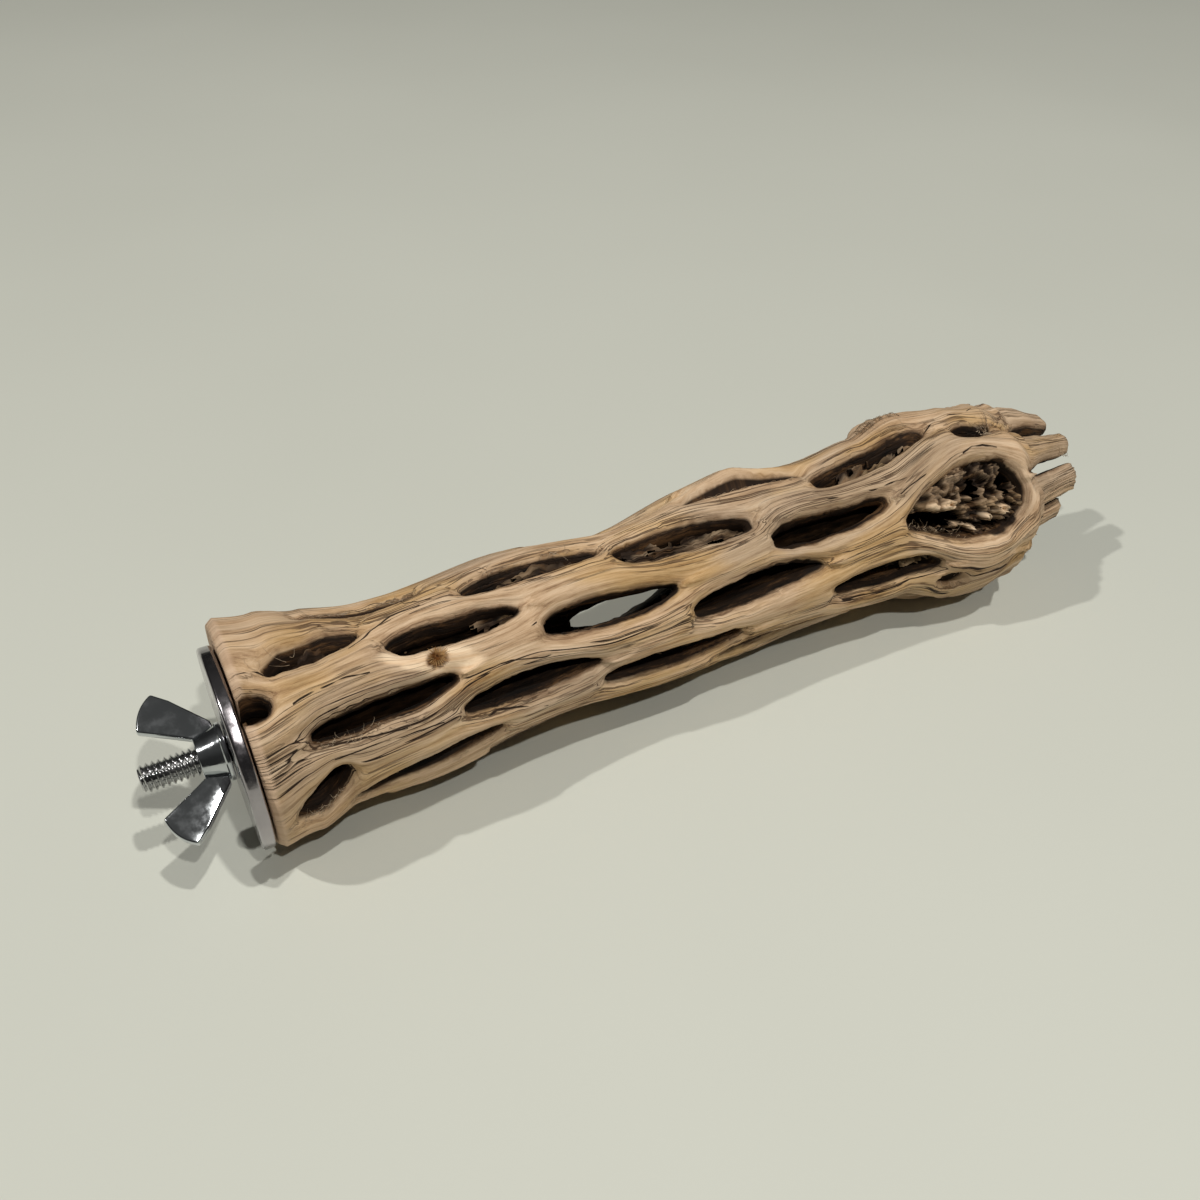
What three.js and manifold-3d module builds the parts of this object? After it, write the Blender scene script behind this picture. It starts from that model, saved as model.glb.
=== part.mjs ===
// A length of cholla cactus skeleton made into a clamp-on perch.
// The wood is one hollow, net-like trunk lying along X, sawn flat at x = 0 and broken into
// fingers at its far end. A threaded stud, a thick washer and a wing nut stand at the sawn end.
// Millimetres and degrees, +Z up. Angles round the trunk start at the front (-Y) and rise over the top.
import * as THREE from 'three';
import { mergeVertices } from 'three/addons/utils/BufferGeometryUtils.js';
import Module from 'manifold-3d';

// Clearance between pieces that touch on the real thing
const GAP = 0.3;

// Stud: a quarter-inch, twenty-to-the-inch thread, which every other size is scaled from
const THREAD_RADIUS = 3.175;
const THREAD_PITCH = 1.27;
const THREAD_DEPTH = 0.7;
const THREAD_SIDES = 14;
const STUD_HEIGHT = 26.4;
const STUD_TIP_X = -22.3;
const STUD_THREAD_END_X = 1;
const STUD_SHANK_RADIUS = 2.75;
const STUD_INNER_END_X = 22;
const STUD_POINT_LENGTH = 4;

// Washer
const WASHER_RADIUS = 22.9;
const WASHER_THICKNESS = 3;
const WASHER_EDGE = 0.5;
const WASHER_HOLE_RADIUS = 3.7;
const WASHER_WOOD_GAP = 0.5;
const WASHER_SIDES = 48;

// Wing nut
const NUT_BASE_RADIUS = 6.6;
const NUT_TOP_RADIUS = 4.9;
const NUT_BASE_HEIGHT = 1.2;
const NUT_HEIGHT = 6.2;
const NUT_EDGE = 0.4;
const NUT_SIDES = 24;
const WING_THICKNESS = 2.2;
const WING_BEVEL = 0.45;
const WING_TILT = 23;
// Wing outline: distance out from the nut's base, then distance from the stud's axis
const WING_OUTLINE = [[1.2, 4.6], [1.5, 7.6], [8.2, 15.2], [11.4, 17.9]];
const WING_TIP_BULGE = [15.6, 15.6];
const WING_OUTLINE_BACK = [[16.4, 10.2], [10.2, 6.9], [5.7, 4.4]];

// Wooden plug glued into the hollow end, which the stud is screwed into
const PLUG_RADIUS = 11.5;
const PLUG_LENGTH = 28;
const PLUG_BORE_RADIUS = STUD_SHANK_RADIUS + GAP;
const PLUG_SIDES = 32;

// Trunk: centre line as [x, y] and [x, z], outer radius and hollow core radius as [x, radius]
const TRUNK_Y = [[0, 3.5], [14, 3.2], [36, 1.1], [70, 4], [95, 2.5], [130, 5.8], [150, 4.3], [172, 4.9],
  [200, 2.5], [230, 3.5]];
const TRUNK_Z = [[0, 26.2], [190, 25.7], [230, 25.4]];
const TRUNK_RADIUS = [[0, 26.6], [10, 25.3], [20, 23.2], [34, 21.8], [62, 21.5], [92, 20.6], [128, 22.5],
  [150, 21.4], [168, 22.2], [182, 25.2], [192, 25.7], [201, 24.6], [207, 21.6], [212, 17.6], [217, 16.4],
  [232, 15.6]];
const CORE_RADIUS = [[0, 11.9], [36, 11.9], [60, 11.3], [150, 11.6], [185, 12.1], [212, 10.6], [232, 10.4]];
const CORE_STRAIGHT_END_X = 32;
const CORE_BLEND_LENGTH = 30;
const SAWN_CHAMFER = 1.5;
const FLOOR_Z = 1;

// Strands between the holes are rounded over this distance from the hole's edge
const OUTER_ROUNDING = 3.4;
const INNER_ROUNDING = 2.8;
const STRAND_BLEND = 1.4;

// Long holes where the branches and tubercles grew, in eight leaning rows.
// Each is [x, angle, half length, half width, slant of its long axis, taper towards +x]
const HOLES = [
  [0, 56, 5.2, 1.6, 0, 0], [28, 35.5, 16, 1.9, 4, 0.15], [62, 13.5, 16.5, 2.1, -3, 0.2],
  [99, -8, 18, 2.2, 0, 0.2], [131, -32, 17.5, 2.2, -4, 0], [168, -45, 12.5, 2.2, -4, 0],
  [198, -62, 6, 2, 0, 0],
  [17.5, 81, 10.5, 1.6, 13, 0], [48, 69, 15, 2.2, -5, 0.2], [84.5, 46, 16.5, 2.4, 0, 0.3],
  [123, 24, 18, 2.3, 0, 0.2], [160, -1, 15, 2.3, 0, 0.1],
  [31, 116, 12, 2.6, 0, 0], [70.5, 95, 16.5, 2.3, 0, 0.2], [108, 77, 17.5, 2.8, -10, 0.2],
  [146.5, 51, 16, 2.4, 2, 0.2], [183.5, 35.5, 16.5, 7, 3, -0.45],
  [18, 171, 12, 2.4, -4, 0], [57, 150, 17, 2.4, -2, 0.2], [95, 129, 17.5, 2.3, -4, 0.1],
  [165, 90, 16.5, 2.5, 2, 0.2], [194.5, 83, 5, 1.5, 0, 0],
  [1, 227, 7, 2.4, 0, 0], [36, 210, 13, 2.2, -3, 0.2], [84, 187, 18, 2.5, 2, 0.2],
  [119, 160, 17, 2.5, -6, 0], [155, 139, 16.5, 2.4, 0, 0.2], [190, 128, 10, 2.6, 0, 0],
  [28, 255, 16.5, 2.4, 3, 0.2], [66, 235, 17, 2.2, -2, 0.1], [103, 219, 18, 2.8, -4, 0.2],
  [145, 183, 16, 2.5, 0, 0.2], [174, 163, 15, 2.6, -4, 0],
  [14, 307, 10, 2.4, 6, 0], [52, 287, 17, 2.4, -4, 0.2], [95, 269, 18, 2.1, 0, 0.2],
  [120, 241, 15.5, 2, -4, 0.1], [158, 232, 16, 2, 2, 0.2], [195, 208, 8, 2.2, 0, 0],
  [12, -6, 6.8, 3, 30, 0], [36, -20, 17, 3.2, 6, 0.1], [68, -40, 16, 2.4, -4, 0],
  [101, -56, 16.5, 2.4, 2, 0.2], [139, -77, 17.5, 2.4, -3, 0.1], [176, -98, 15, 2.5, 0, 0],
];

// Hollows that stop short of the core: [x, angle, half length, half width, slant, depth]
const HOLLOWS = [
  [131, 104, 15, 2.8, -2, 5], [179.5, -14.5, 3.5, 2, 4, 3.5],
];

// Swellings round knots and where strands join: [x, angle, height, half length, half width]
const SWELLINGS = [
  [185, 37, 2.4, 21, 15], [203, 32, 2, 6, 13], [41, 57, 1.3, 11, 7], [181, 122, 1.6, 7, 6],
  [131, 119, 1.4, 5, 5], [214, 106, 4.4, 9, 12], [186, -40, 0.8, 14, 12], [178, 200, 1.4, 12, 10],
  [60, 262, 1, 14, 8], [118, 300, 1, 14, 9],
];

// Fingers at the broken end: [angle, x of the tip], and the notches between them:
// [angle, x where the notch starts, half width]
const FINGERS = [
  [100, 227], [61, 228.5], [18, 228.5], [-24, 225], [-68, 221], [-112, 226], [-155, 219], [142, 223],
];
const NOTCHES = [
  [80, 210, 1.1], [42, 209, 1.25], [-3, 212, 0.9], [-46, 208, 1.6], [-90, 206, 2], [-134, 209, 1.8],
  [-174, 206, 1.9], [121, 211, 1.6],
];
const NOTCH_HALF_LENGTH = 26;
const TIP_SHARPNESS = 3.2;

// Triangle grid that the trunk's wall is cut from
const GRID_COLUMNS = 52;
const ROW_STEP = 5.4;
const FINGER_ROW_STEP = 3.4;
const FINGER_ROWS_START_X = 204;
const GRID_END_X = 234;
const SNAP_SHARE = 0.3;
const CUT_STEPS = 14;
const BRIDGE_DEPTH = 0.6;

const manifoldModule = await Module();
manifoldModule.setup();

const wood = new THREE.MeshStandardMaterial({ color: 0xb9925f, roughness: 0.85, metalness: 0 });
const plugWood = new THREE.MeshStandardMaterial({ color: 0xc9a877, roughness: 0.8, metalness: 0 });
const steel = new THREE.MeshStandardMaterial({ color: 0xb4b2ad, roughness: 0.3, metalness: 1 });
const polishedSteel = new THREE.MeshStandardMaterial({ color: 0xb9b9ba, roughness: 0.12, metalness: 1 });
const chrome = new THREE.MeshStandardMaterial({ color: 0x9fa3a6, roughness: 0.08, metalness: 1 });

const clamp01 = (value) => Math.min(Math.max(value, 0), 1);
const smoothStep = (value) => clamp01(value) ** 2 * (3 - 2 * clamp01(value));
const turnBetween = (from, to) => ((to - from + 540) % 360 + 360) % 360 - 180;

// Value at x of a smooth line through a list of [x, value] points
function along(points, x) {
  let k = 1;
  while (k < points.length - 1 && points[k][0] < x) k += 1;
  const [x0, a] = points[k - 1];
  const [x1, b] = points[k];
  const before = points[Math.max(k - 2, 0)];
  const after = points[Math.min(k + 1, points.length - 1)];
  const span = x1 - x0;
  const slopeA = ((b - before[1]) / (x1 - before[0])) * span;
  const slopeB = ((after[1] - a) / (after[0] - x0)) * span;
  const t = clamp01((x - x0) / span);
  const bend = slopeA * (t - 1) - slopeB * t;
  return a + (b - a) * (3 * t * t - 2 * t * t * t) - t * (1 - t) * bend;
}

// Direction across the trunk at an angle from the front over the top
function across(angle) {
  const turn = THREE.MathUtils.degToRad(angle);
  return new THREE.Vector3(0, -Math.cos(turn), Math.sin(turn));
}

const wallRadius = (x) => (along(TRUNK_RADIUS, x) + along(CORE_RADIUS, x)) / 2;

// Place of a point in a spot's own directions, along and across its long axis, in millimetres
function inSpot(x, angle, spotX, spotAngle, slant) {
  const run = x - spotX;
  const side = THREE.MathUtils.degToRad(turnBetween(spotAngle, angle)) * wallRadius(x);
  const turn = THREE.MathUtils.degToRad(slant);
  return [run * Math.cos(turn) + side * Math.sin(turn), side * Math.cos(turn) - run * Math.sin(turn)];
}

// Distance outside an ellipse, negative inside it
function outsideEllipse(p, q, halfLength, halfWidth) {
  const reach = Math.hypot(p / halfLength, q / halfWidth);
  const slope = Math.hypot(p / halfLength ** 2, q / halfWidth ** 2);
  return slope < 1e-9 ? -halfWidth : (reach * (reach - 1)) / slope;
}

function holeDistance(x, angle, [holeX, holeAngle, halfLength, halfWidth, slant, taper]) {
  const [p, q] = inSpot(x, angle, holeX, holeAngle, slant);
  const narrowed = halfWidth * (1 - (taper * p) / halfLength);
  return outsideEllipse(p, q, halfLength, Math.max(narrowed, 0.5 * halfWidth));
}

function notchDistance(x, angle, [notchAngle, startX, halfWidth]) {
  const [p, q] = inSpot(x, angle, startX + NOTCH_HALF_LENGTH, notchAngle, 0);
  return outsideEllipse(p, q, NOTCH_HALF_LENGTH, halfWidth * 1.2);
}

function tipDistance(x, angle) {
  const turnTo = ([fingerAngle]) => Math.abs(turnBetween(fingerAngle, angle));
  const nearest = FINGERS.reduce((best, finger) => (turnTo(finger) < turnTo(best) ? finger : best));
  return (nearest[1] - x) * TIP_SHARPNESS;
}

const smoothMin = (a, b, width) => {
  const mix = clamp01(0.5 + (b - a) / (2 * width));
  return b + (a - b) * mix - width * mix * (1 - mix);
};

// Distance from a point of the wall to the nearest hole, notch or finger tip, negative in air
function woodDepth(x, angle) {
  const nearHoles = HOLES.filter(([holeX, , halfLength]) => Math.abs(x - holeX) < halfLength + 12);
  const gaps = [
    ...nearHoles.map((hole) => holeDistance(x, angle, hole)),
    ...NOTCHES.map((notch) => notchDistance(x, angle, notch)),
    tipDistance(x, angle),
  ];
  return gaps.reduce((a, b) => smoothMin(a, b, STRAND_BLEND), 2 * OUTER_ROUNDING);
}

const rounding = (depth, width) => Math.sqrt(1 - (1 - clamp01(depth / width)) ** 2);

function swellingAt(x, angle) {
  return SWELLINGS.reduce((sum, [spotX, spotAngle, height, halfLength, halfWidth]) => {
    const [p, q] = inSpot(x, angle, spotX, spotAngle, 0);
    return sum + height * Math.exp(-((p / halfLength) ** 2) - (q / halfWidth) ** 2);
  }, 0);
}

function hollowAt(x, angle) {
  return HOLLOWS.reduce((sum, [spotX, spotAngle, halfLength, halfWidth, slant, depth]) => {
    const [p, q] = inSpot(x, angle, spotX, spotAngle, slant);
    const share = 1.4 - Math.hypot(p / halfLength, q / halfWidth);
    return sum + depth * smoothStep(share / 0.6);
  }, 0);
}

// Outer face of the trunk's wall before the strands are rounded
function outerFace(x, angle) {
  const chamfer = SAWN_CHAMFER * (1 - clamp01(x / SAWN_CHAMFER));
  const radius = along(TRUNK_RADIUS, x) + swellingAt(x, angle) - hollowAt(x, angle) - chamfer;
  return new THREE.Vector3(x, along(TRUNK_Y, x), along(TRUNK_Z, x)).addScaledVector(across(angle), radius);
}

// Face of the hollow core, which runs straight where the plug sits
function coreFace(x, angle) {
  const bend = smoothStep((x - CORE_STRAIGHT_END_X) / CORE_BLEND_LENGTH);
  const y = along(TRUNK_Y, x) * bend;
  const z = STUD_HEIGHT + (along(TRUNK_Z, x) - STUD_HEIGHT) * bend;
  return new THREE.Vector3(x, y, z).addScaledVector(across(angle), along(CORE_RADIUS, x));
}

// Points of both faces of the wall, drawn together into one lip at a hole's edge
function wallPoints({ x, angle, depth }) {
  const outer = outerFace(x, angle);
  const core = coreFace(x, angle);
  const lip = outer.clone().lerp(core, 0.5);
  return {
    outer: lip.clone().lerp(outer, rounding(depth, OUTER_ROUNDING)),
    inner: lip.clone().lerp(core, rounding(depth, INNER_ROUNDING)),
  };
}

function between(a, b, share) {
  const x = a.x + (b.x - a.x) * share;
  return { x, angle: a.angle + turnBetween(a.angle, b.angle) * share };
}

// Share of the way from a to b where the wood ends
function edgeShare(a, b) {
  let low = 0;
  let high = 1;
  for (let step = 0; step < CUT_STEPS; step += 1) {
    const middle = (low + high) / 2;
    const point = between(a, b, middle);
    const sameSide = woodDepth(point.x, point.angle) > 0 === a.depth > 0;
    if (sameSide) low = middle;
    else high = middle;
  }
  return (low + high) / 2;
}

function gridRows() {
  const rows = [0, SAWN_CHAMFER];
  for (let x = ROW_STEP; x < FINGER_ROWS_START_X; x += ROW_STEP) rows.push(x);
  for (let x = FINGER_ROWS_START_X + 1; x <= GRID_END_X; x += FINGER_ROW_STEP) rows.push(x);
  return rows;
}

// Staggered triangle grid over the whole trunk, with each point's depth in the wood
function trunkGrid() {
  const rows = gridRows();
  const points = rows.flatMap((x, row) => Array.from({ length: GRID_COLUMNS }, (_, column) => {
    const angle = ((column + (row % 2) / 2) * 360) / GRID_COLUMNS;
    return { x, angle, depth: woodDepth(x, angle), row };
  }));
  const triangles = [];
  for (let row = 0; row < rows.length - 1; row += 1) {
    for (let column = 0; column < GRID_COLUMNS; column += 1) {
      const next = (column + 1) % GRID_COLUMNS;
      const [a, b] = [row * GRID_COLUMNS + column, row * GRID_COLUMNS + next];
      const [c, d] = [a + GRID_COLUMNS, b + GRID_COLUMNS];
      if (row % 2) triangles.push([a, b, d], [a, d, c]);
      else triangles.push([a, b, c], [b, d, c]);
    }
  }
  return { points, triangles };
}

// Moves grid points that lie close to a hole's edge on to it, so that no sliver is cut
function snapToEdges({ points, triangles }) {
  const links = points.map(() => new Set());
  for (const [a, b, c] of triangles) {
    for (const [from, to] of [[a, b], [b, c], [c, a]]) {
      links[from].add(to);
      links[to].add(from);
    }
  }
  points.forEach((point, k) => {
    const reachable = [...links[k]].map((m) => points[m])
      .filter((other) => other.depth * point.depth < 0 && (point.row > 0 || other.row === 0));
    const shares = reachable.map((other) => edgeShare(point, other));
    const nearest = Math.min(...shares);
    if (nearest > SNAP_SHARE) return;
    Object.assign(point, between(point, reachable[shares.indexOf(nearest)], nearest), { depth: 0 });
  });
}

// Cuts the holes out of the grid
function cutHoles({ points, triangles }) {
  const cuts = new Map();
  const cutBetween = (a, b) => {
    const key = `${Math.min(a, b)} ${Math.max(a, b)}`;
    if (!cuts.has(key)) {
      cuts.set(key, points.length);
      const place = between(points[a], points[b], edgeShare(points[a], points[b]));
      points.push({ ...place, depth: 0, row: -1 });
    }
    return cuts.get(key);
  };
  const kept = [];
  for (const triangle of triangles) {
    const outline = triangle.flatMap((a, side) => {
      const b = triangle[(side + 1) % 3];
      const crosses = points[a].depth * points[b].depth < 0;
      return [...(points[a].depth >= 0 ? [a] : []), ...(crosses ? [cutBetween(a, b)] : [])];
    });
    const hasWood = outline.some((k) => points[k].depth > 0);
    if (hasWood && outline.length >= 3) kept.push([outline[0], outline[1], outline[2]]);
    if (hasWood && outline.length === 4) kept.push([outline[0], outline[2], outline[3]]);
  }
  return kept;
}

// Splits each edge that crosses a thin bridge of wood from lip to lip, so that the bridge keeps
// two separate faces
function splitBridges(points, sheet) {
  const keyOf = (a, b) => `${Math.min(a, b)} ${Math.max(a, b)}`;
  const users = new Map();
  for (const [a, b, c] of sheet) {
    for (const key of [keyOf(a, b), keyOf(b, c), keyOf(c, a)]) users.set(key, (users.get(key) ?? 0) + 1);
  }
  const middles = new Map();
  const middleOf = (a, b) => {
    const key = keyOf(a, b);
    if (users.get(key) < 2 || points[a].depth > 0 || points[b].depth > 0) return null;
    if (!middles.has(key)) {
      const place = between(points[a], points[b], 0.5);
      middles.set(key, points.length);
      points.push({ ...place, depth: Math.max(woodDepth(place.x, place.angle), BRIDGE_DEPTH) });
    }
    return middles.get(key);
  };
  return sheet.flatMap(([a, b, c]) => {
    for (const [from, to, far] of [[a, b, c], [b, c, a], [c, a, b]]) {
      const middle = middleOf(from, to);
      if (middle !== null) return [[from, middle, far], [middle, to, far]];
    }
    return [[a, b, c]];
  });
}

// Closed mesh of the trunk: outer sheet, inner sheet and the flat sawn end between them
function trunkGeometry() {
  const grid = trunkGrid();
  snapToEdges(grid);
  const sheet = splitBridges(grid.points, cutHoles(grid));
  const positions = [];
  const addVertex = ({ x, y, z }) => positions.push(x, y, Math.max(z, FLOOR_Z)) / 3 - 1;
  const vertices = grid.points.map((point) => {
    if (point.depth < 0) return null;
    const { outer, inner } = wallPoints(point);
    const outerIndex = addVertex(outer);
    return { outer: outerIndex, inner: point.depth > 0 ? addVertex(inner) : outerIndex };
  });
  const faces = [];
  const addFace = (a, b, c) => {
    if (a !== b && b !== c && c !== a) faces.push(a, b, c);
  };
  for (const [a, b, c] of sheet) {
    addFace(vertices[a].outer, vertices[c].outer, vertices[b].outer);
    addFace(vertices[a].inner, vertices[b].inner, vertices[c].inner);
    for (const [from, to] of [[a, b], [b, c], [c, a]]) {
      if (grid.points[from].x === 0 && grid.points[to].x === 0) {
        addFace(vertices[from].outer, vertices[to].outer, vertices[to].inner);
        addFace(vertices[from].outer, vertices[to].inner, vertices[from].inner);
      }
    }
  }
  const geometry = new THREE.BufferGeometry();
  geometry.setAttribute('position', new THREE.Float32BufferAttribute(positions, 3));
  geometry.setIndex(faces);
  return geometry;
}

// Vertices of a geometry with position alone, merged where they meet
function positionsOnly(geometry) {
  const bare = geometry.index ? geometry.toNonIndexed() : geometry.clone();
  bare.deleteAttribute('normal');
  bare.deleteAttribute('uv');
  return mergeVertices(bare, 1e-4);
}

function toManifold(geometry) {
  const bare = positionsOnly(geometry);
  return new manifoldModule.Manifold(new manifoldModule.Mesh({
    numProp: 3,
    vertProperties: new Float32Array(bare.attributes.position.array),
    triVerts: new Uint32Array(bare.index.array),
  }));
}

function fromManifold(solid) {
  const mesh = solid.getMesh();
  const geometry = new THREE.BufferGeometry();
  geometry.setAttribute('position', new THREE.BufferAttribute(mesh.vertProperties, mesh.numProp));
  geometry.setIndex(new THREE.BufferAttribute(mesh.triVerts, 1));
  return geometry;
}

// Solid of revolution about X from a closed profile of [x, radius] points, in rising x on the outside
function turned(profile, sides) {
  const points = profile.map(([x, radius]) => new THREE.Vector2(radius, x));
  return positionsOnly(new THREE.LatheGeometry(points, sides).rotateZ(-Math.PI / 2));
}

// Endless screw thread: four lines of points wind round the stud, root, flank, crest and flank
function threadSolid(startX, turns) {
  const linesPerTurn = 4;
  const radii = [THREAD_RADIUS - THREAD_DEPTH, THREAD_RADIUS - THREAD_DEPTH / 2, THREAD_RADIUS,
    THREAD_RADIUS - THREAD_DEPTH / 2];
  const lines = turns * linesPerTurn;
  const positions = [];
  for (let line = 0; line <= lines + linesPerTurn; line += 1) {
    for (let side = 0; side < THREAD_SIDES; side += 1) {
      const x = startX + THREAD_PITCH * (line / linesPerTurn + side / THREAD_SIDES);
      const spot = across((-360 * side) / THREAD_SIDES).multiplyScalar(radii[line % linesPerTurn]);
      positions.push(x, spot.y, spot.z);
    }
  }
  // Past the last side, a line carries on as the line one turn further along
  const at = (line, side) => (side < THREAD_SIDES
    ? line * THREAD_SIDES + side
    : (line + linesPerTurn) * THREAD_SIDES);
  const faces = [];
  for (let line = 0; line < lines; line += 1) {
    for (let side = 0; side < THREAD_SIDES; side += 1) {
      faces.push(at(line, side), at(line + 1, side + 1), at(line + 1, side));
      faces.push(at(line, side), at(line, side + 1), at(line + 1, side + 1));
    }
  }
  const capEnd = (line, outwards) => {
    const centre = positions.push(startX + THREAD_PITCH * (line / linesPerTurn + 0.5), 0, 0) / 3 - 1;
    const rim = Array.from({ length: THREAD_SIDES + 1 }, (_, side) => at(line, side));
    for (let step = 3; step >= 0; step -= 1) rim.push(at(line + step, 0));
    for (let k = 0; k < rim.length - 1; k += 1) {
      faces.push(centre, ...(outwards ? [rim[k + 1], rim[k]] : [rim[k], rim[k + 1]]));
    }
  };
  capEnd(0, true);
  capEnd(lines, false);
  const geometry = new THREE.BufferGeometry();
  geometry.setAttribute('position', new THREE.Float32BufferAttribute(positions, 3));
  geometry.setIndex(faces);
  return geometry;
}

// Stud: the thread trimmed by a chamfered blank, with a plain pointed shank inside the plug
function studGeometry() {
  const rootRadius = THREAD_RADIUS - THREAD_DEPTH;
  const clearRadius = THREAD_RADIUS / Math.cos(Math.PI / THREAD_SIDES) + 0.02;
  const blank = turned([
    [STUD_TIP_X, 0], [STUD_TIP_X, rootRadius], [STUD_TIP_X + THREAD_DEPTH, clearRadius],
    [STUD_THREAD_END_X, clearRadius], [STUD_THREAD_END_X, 0],
  ], THREAD_SIDES);
  const turns = Math.ceil((STUD_THREAD_END_X - STUD_TIP_X) / THREAD_PITCH) + 3;
  const thread = threadSolid(STUD_TIP_X - 2 * THREAD_PITCH, turns);
  const shank = turned([
    [STUD_THREAD_END_X - THREAD_PITCH, 0], [STUD_THREAD_END_X - THREAD_PITCH, rootRadius - 0.1],
    [STUD_THREAD_END_X + 0.6, STUD_SHANK_RADIUS],
    [STUD_INNER_END_X - STUD_POINT_LENGTH, STUD_SHANK_RADIUS], [STUD_INNER_END_X, 0],
  ], THREAD_SIDES);
  return fromManifold(toManifold(thread).intersect(toManifold(blank)).add(toManifold(shank)));
}

function washerGeometry() {
  const outerX = -WASHER_WOOD_GAP - WASHER_THICKNESS;
  return turned([
    [outerX, WASHER_HOLE_RADIUS], [outerX, WASHER_RADIUS - WASHER_EDGE],
    [outerX + WASHER_EDGE, WASHER_RADIUS], [-WASHER_WOOD_GAP - WASHER_EDGE, WASHER_RADIUS],
    [-WASHER_WOOD_GAP, WASHER_RADIUS - WASHER_EDGE], [-WASHER_WOOD_GAP, WASHER_HOLE_RADIUS],
    [outerX, WASHER_HOLE_RADIUS],
  ], WASHER_SIDES);
}

function nutHubGeometry() {
  const bore = THREAD_RADIUS + GAP;
  return turned([
    [-NUT_HEIGHT, bore], [-NUT_HEIGHT, NUT_TOP_RADIUS - NUT_EDGE],
    [-NUT_HEIGHT + NUT_EDGE, NUT_TOP_RADIUS], [-NUT_BASE_HEIGHT, NUT_BASE_RADIUS - NUT_EDGE / 2],
    [-NUT_BASE_HEIGHT + NUT_EDGE, NUT_BASE_RADIUS], [-NUT_EDGE, NUT_BASE_RADIUS],
    [0, NUT_BASE_RADIUS - NUT_EDGE], [0, bore], [-NUT_HEIGHT, bore],
  ], NUT_SIDES);
}

// One fan-shaped wing plate, cut in the XY plane and centred on it
function wingGeometry() {
  const shape = new THREE.Shape();
  const flip = ([out, radius]) => [-out, radius];
  WING_OUTLINE.forEach((point, k) => (k ? shape.lineTo(...flip(point)) : shape.moveTo(...flip(point))));
  shape.quadraticCurveTo(...flip(WING_TIP_BULGE), ...flip(WING_OUTLINE_BACK[0]));
  WING_OUTLINE_BACK.slice(1).forEach((point) => shape.lineTo(...flip(point)));
  shape.closePath();
  const flat = WING_THICKNESS - 2 * WING_BEVEL;
  return new THREE.ExtrudeGeometry(shape, {
    depth: flat, curveSegments: 5, bevelSegments: 1,
    bevelThickness: WING_BEVEL, bevelSize: WING_BEVEL, bevelOffset: -WING_BEVEL,
  }).translate(0, 0, -flat / 2);
}

function wingNutGeometry() {
  const wings = [0, 180].map((turn) => (
    toManifold(wingGeometry().rotateX(THREE.MathUtils.degToRad(WING_TILT + turn)))
  ));
  return fromManifold(toManifold(nutHubGeometry()).add(wings[0]).add(wings[1]));
}

// Plug with a blind hole for the stud, open towards the sawn end
function plugGeometry() {
  const holeEndX = STUD_INNER_END_X + 1;
  const mouth = THREAD_RADIUS + GAP;
  const mouthEndX = STUD_THREAD_END_X + 1;
  return turned([
    [GAP, mouth], [GAP, PLUG_RADIUS], [PLUG_LENGTH, PLUG_RADIUS], [PLUG_LENGTH, 0], [holeEndX, 0],
    [holeEndX - STUD_POINT_LENGTH, PLUG_BORE_RADIUS], [mouthEndX, PLUG_BORE_RADIUS],
    [mouthEndX, mouth], [GAP, mouth],
  ], PLUG_SIDES);
}

function piece(name, geometry, material) {
  const mesh = new THREE.Mesh(geometry, material);
  mesh.name = name;
  return mesh;
}

const hardware = new THREE.Group();
hardware.position.set(0, 0, STUD_HEIGHT);
const wingNut = piece('wing_nut', wingNutGeometry(), chrome);
wingNut.position.x = -WASHER_WOOD_GAP - WASHER_THICKNESS - GAP;
hardware.add(
  piece('end_plug', plugGeometry(), plugWood),
  piece('stud', studGeometry(), steel),
  piece('washer', washerGeometry(), polishedSteel),
  wingNut,
);

// The origin is the middle of the whole perch's box, at the bottom
const perch = new THREE.Group();
perch.add(piece('trunk', trunkGeometry(), wood), hardware);
const box = new THREE.Box3().setFromObject(perch);
const middle = box.getCenter(new THREE.Vector3());
perch.position.set(-middle.x, -middle.y, -box.min.z);

export default perch;
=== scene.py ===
"""A cholla cactus skeleton made into a clamp-on perch, lying on a plain pale floor.

The trunk is one hollow wall with long leaning holes, cut from a fine grid round its axis.
Fibre lines flow round the holes, and they drive the relief, the cracks and the colour streaks.
Sizes in the named values are millimetres and degrees; everything made is in metres.
"""
import math

import bmesh
import bpy
import numpy as np
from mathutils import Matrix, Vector


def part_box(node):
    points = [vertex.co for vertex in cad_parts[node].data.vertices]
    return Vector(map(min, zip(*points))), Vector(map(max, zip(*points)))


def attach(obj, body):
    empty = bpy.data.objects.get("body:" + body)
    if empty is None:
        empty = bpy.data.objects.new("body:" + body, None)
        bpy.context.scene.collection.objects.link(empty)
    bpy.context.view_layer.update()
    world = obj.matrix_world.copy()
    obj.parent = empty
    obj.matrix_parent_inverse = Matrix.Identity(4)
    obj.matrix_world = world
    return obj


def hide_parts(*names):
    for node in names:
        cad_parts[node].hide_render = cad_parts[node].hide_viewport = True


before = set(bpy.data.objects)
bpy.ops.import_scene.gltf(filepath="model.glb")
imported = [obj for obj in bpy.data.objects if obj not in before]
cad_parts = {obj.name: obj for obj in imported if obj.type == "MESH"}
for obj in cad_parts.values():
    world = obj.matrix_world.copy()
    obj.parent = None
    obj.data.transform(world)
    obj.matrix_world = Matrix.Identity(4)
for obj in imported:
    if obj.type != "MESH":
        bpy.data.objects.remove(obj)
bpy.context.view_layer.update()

MM = 0.001

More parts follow.
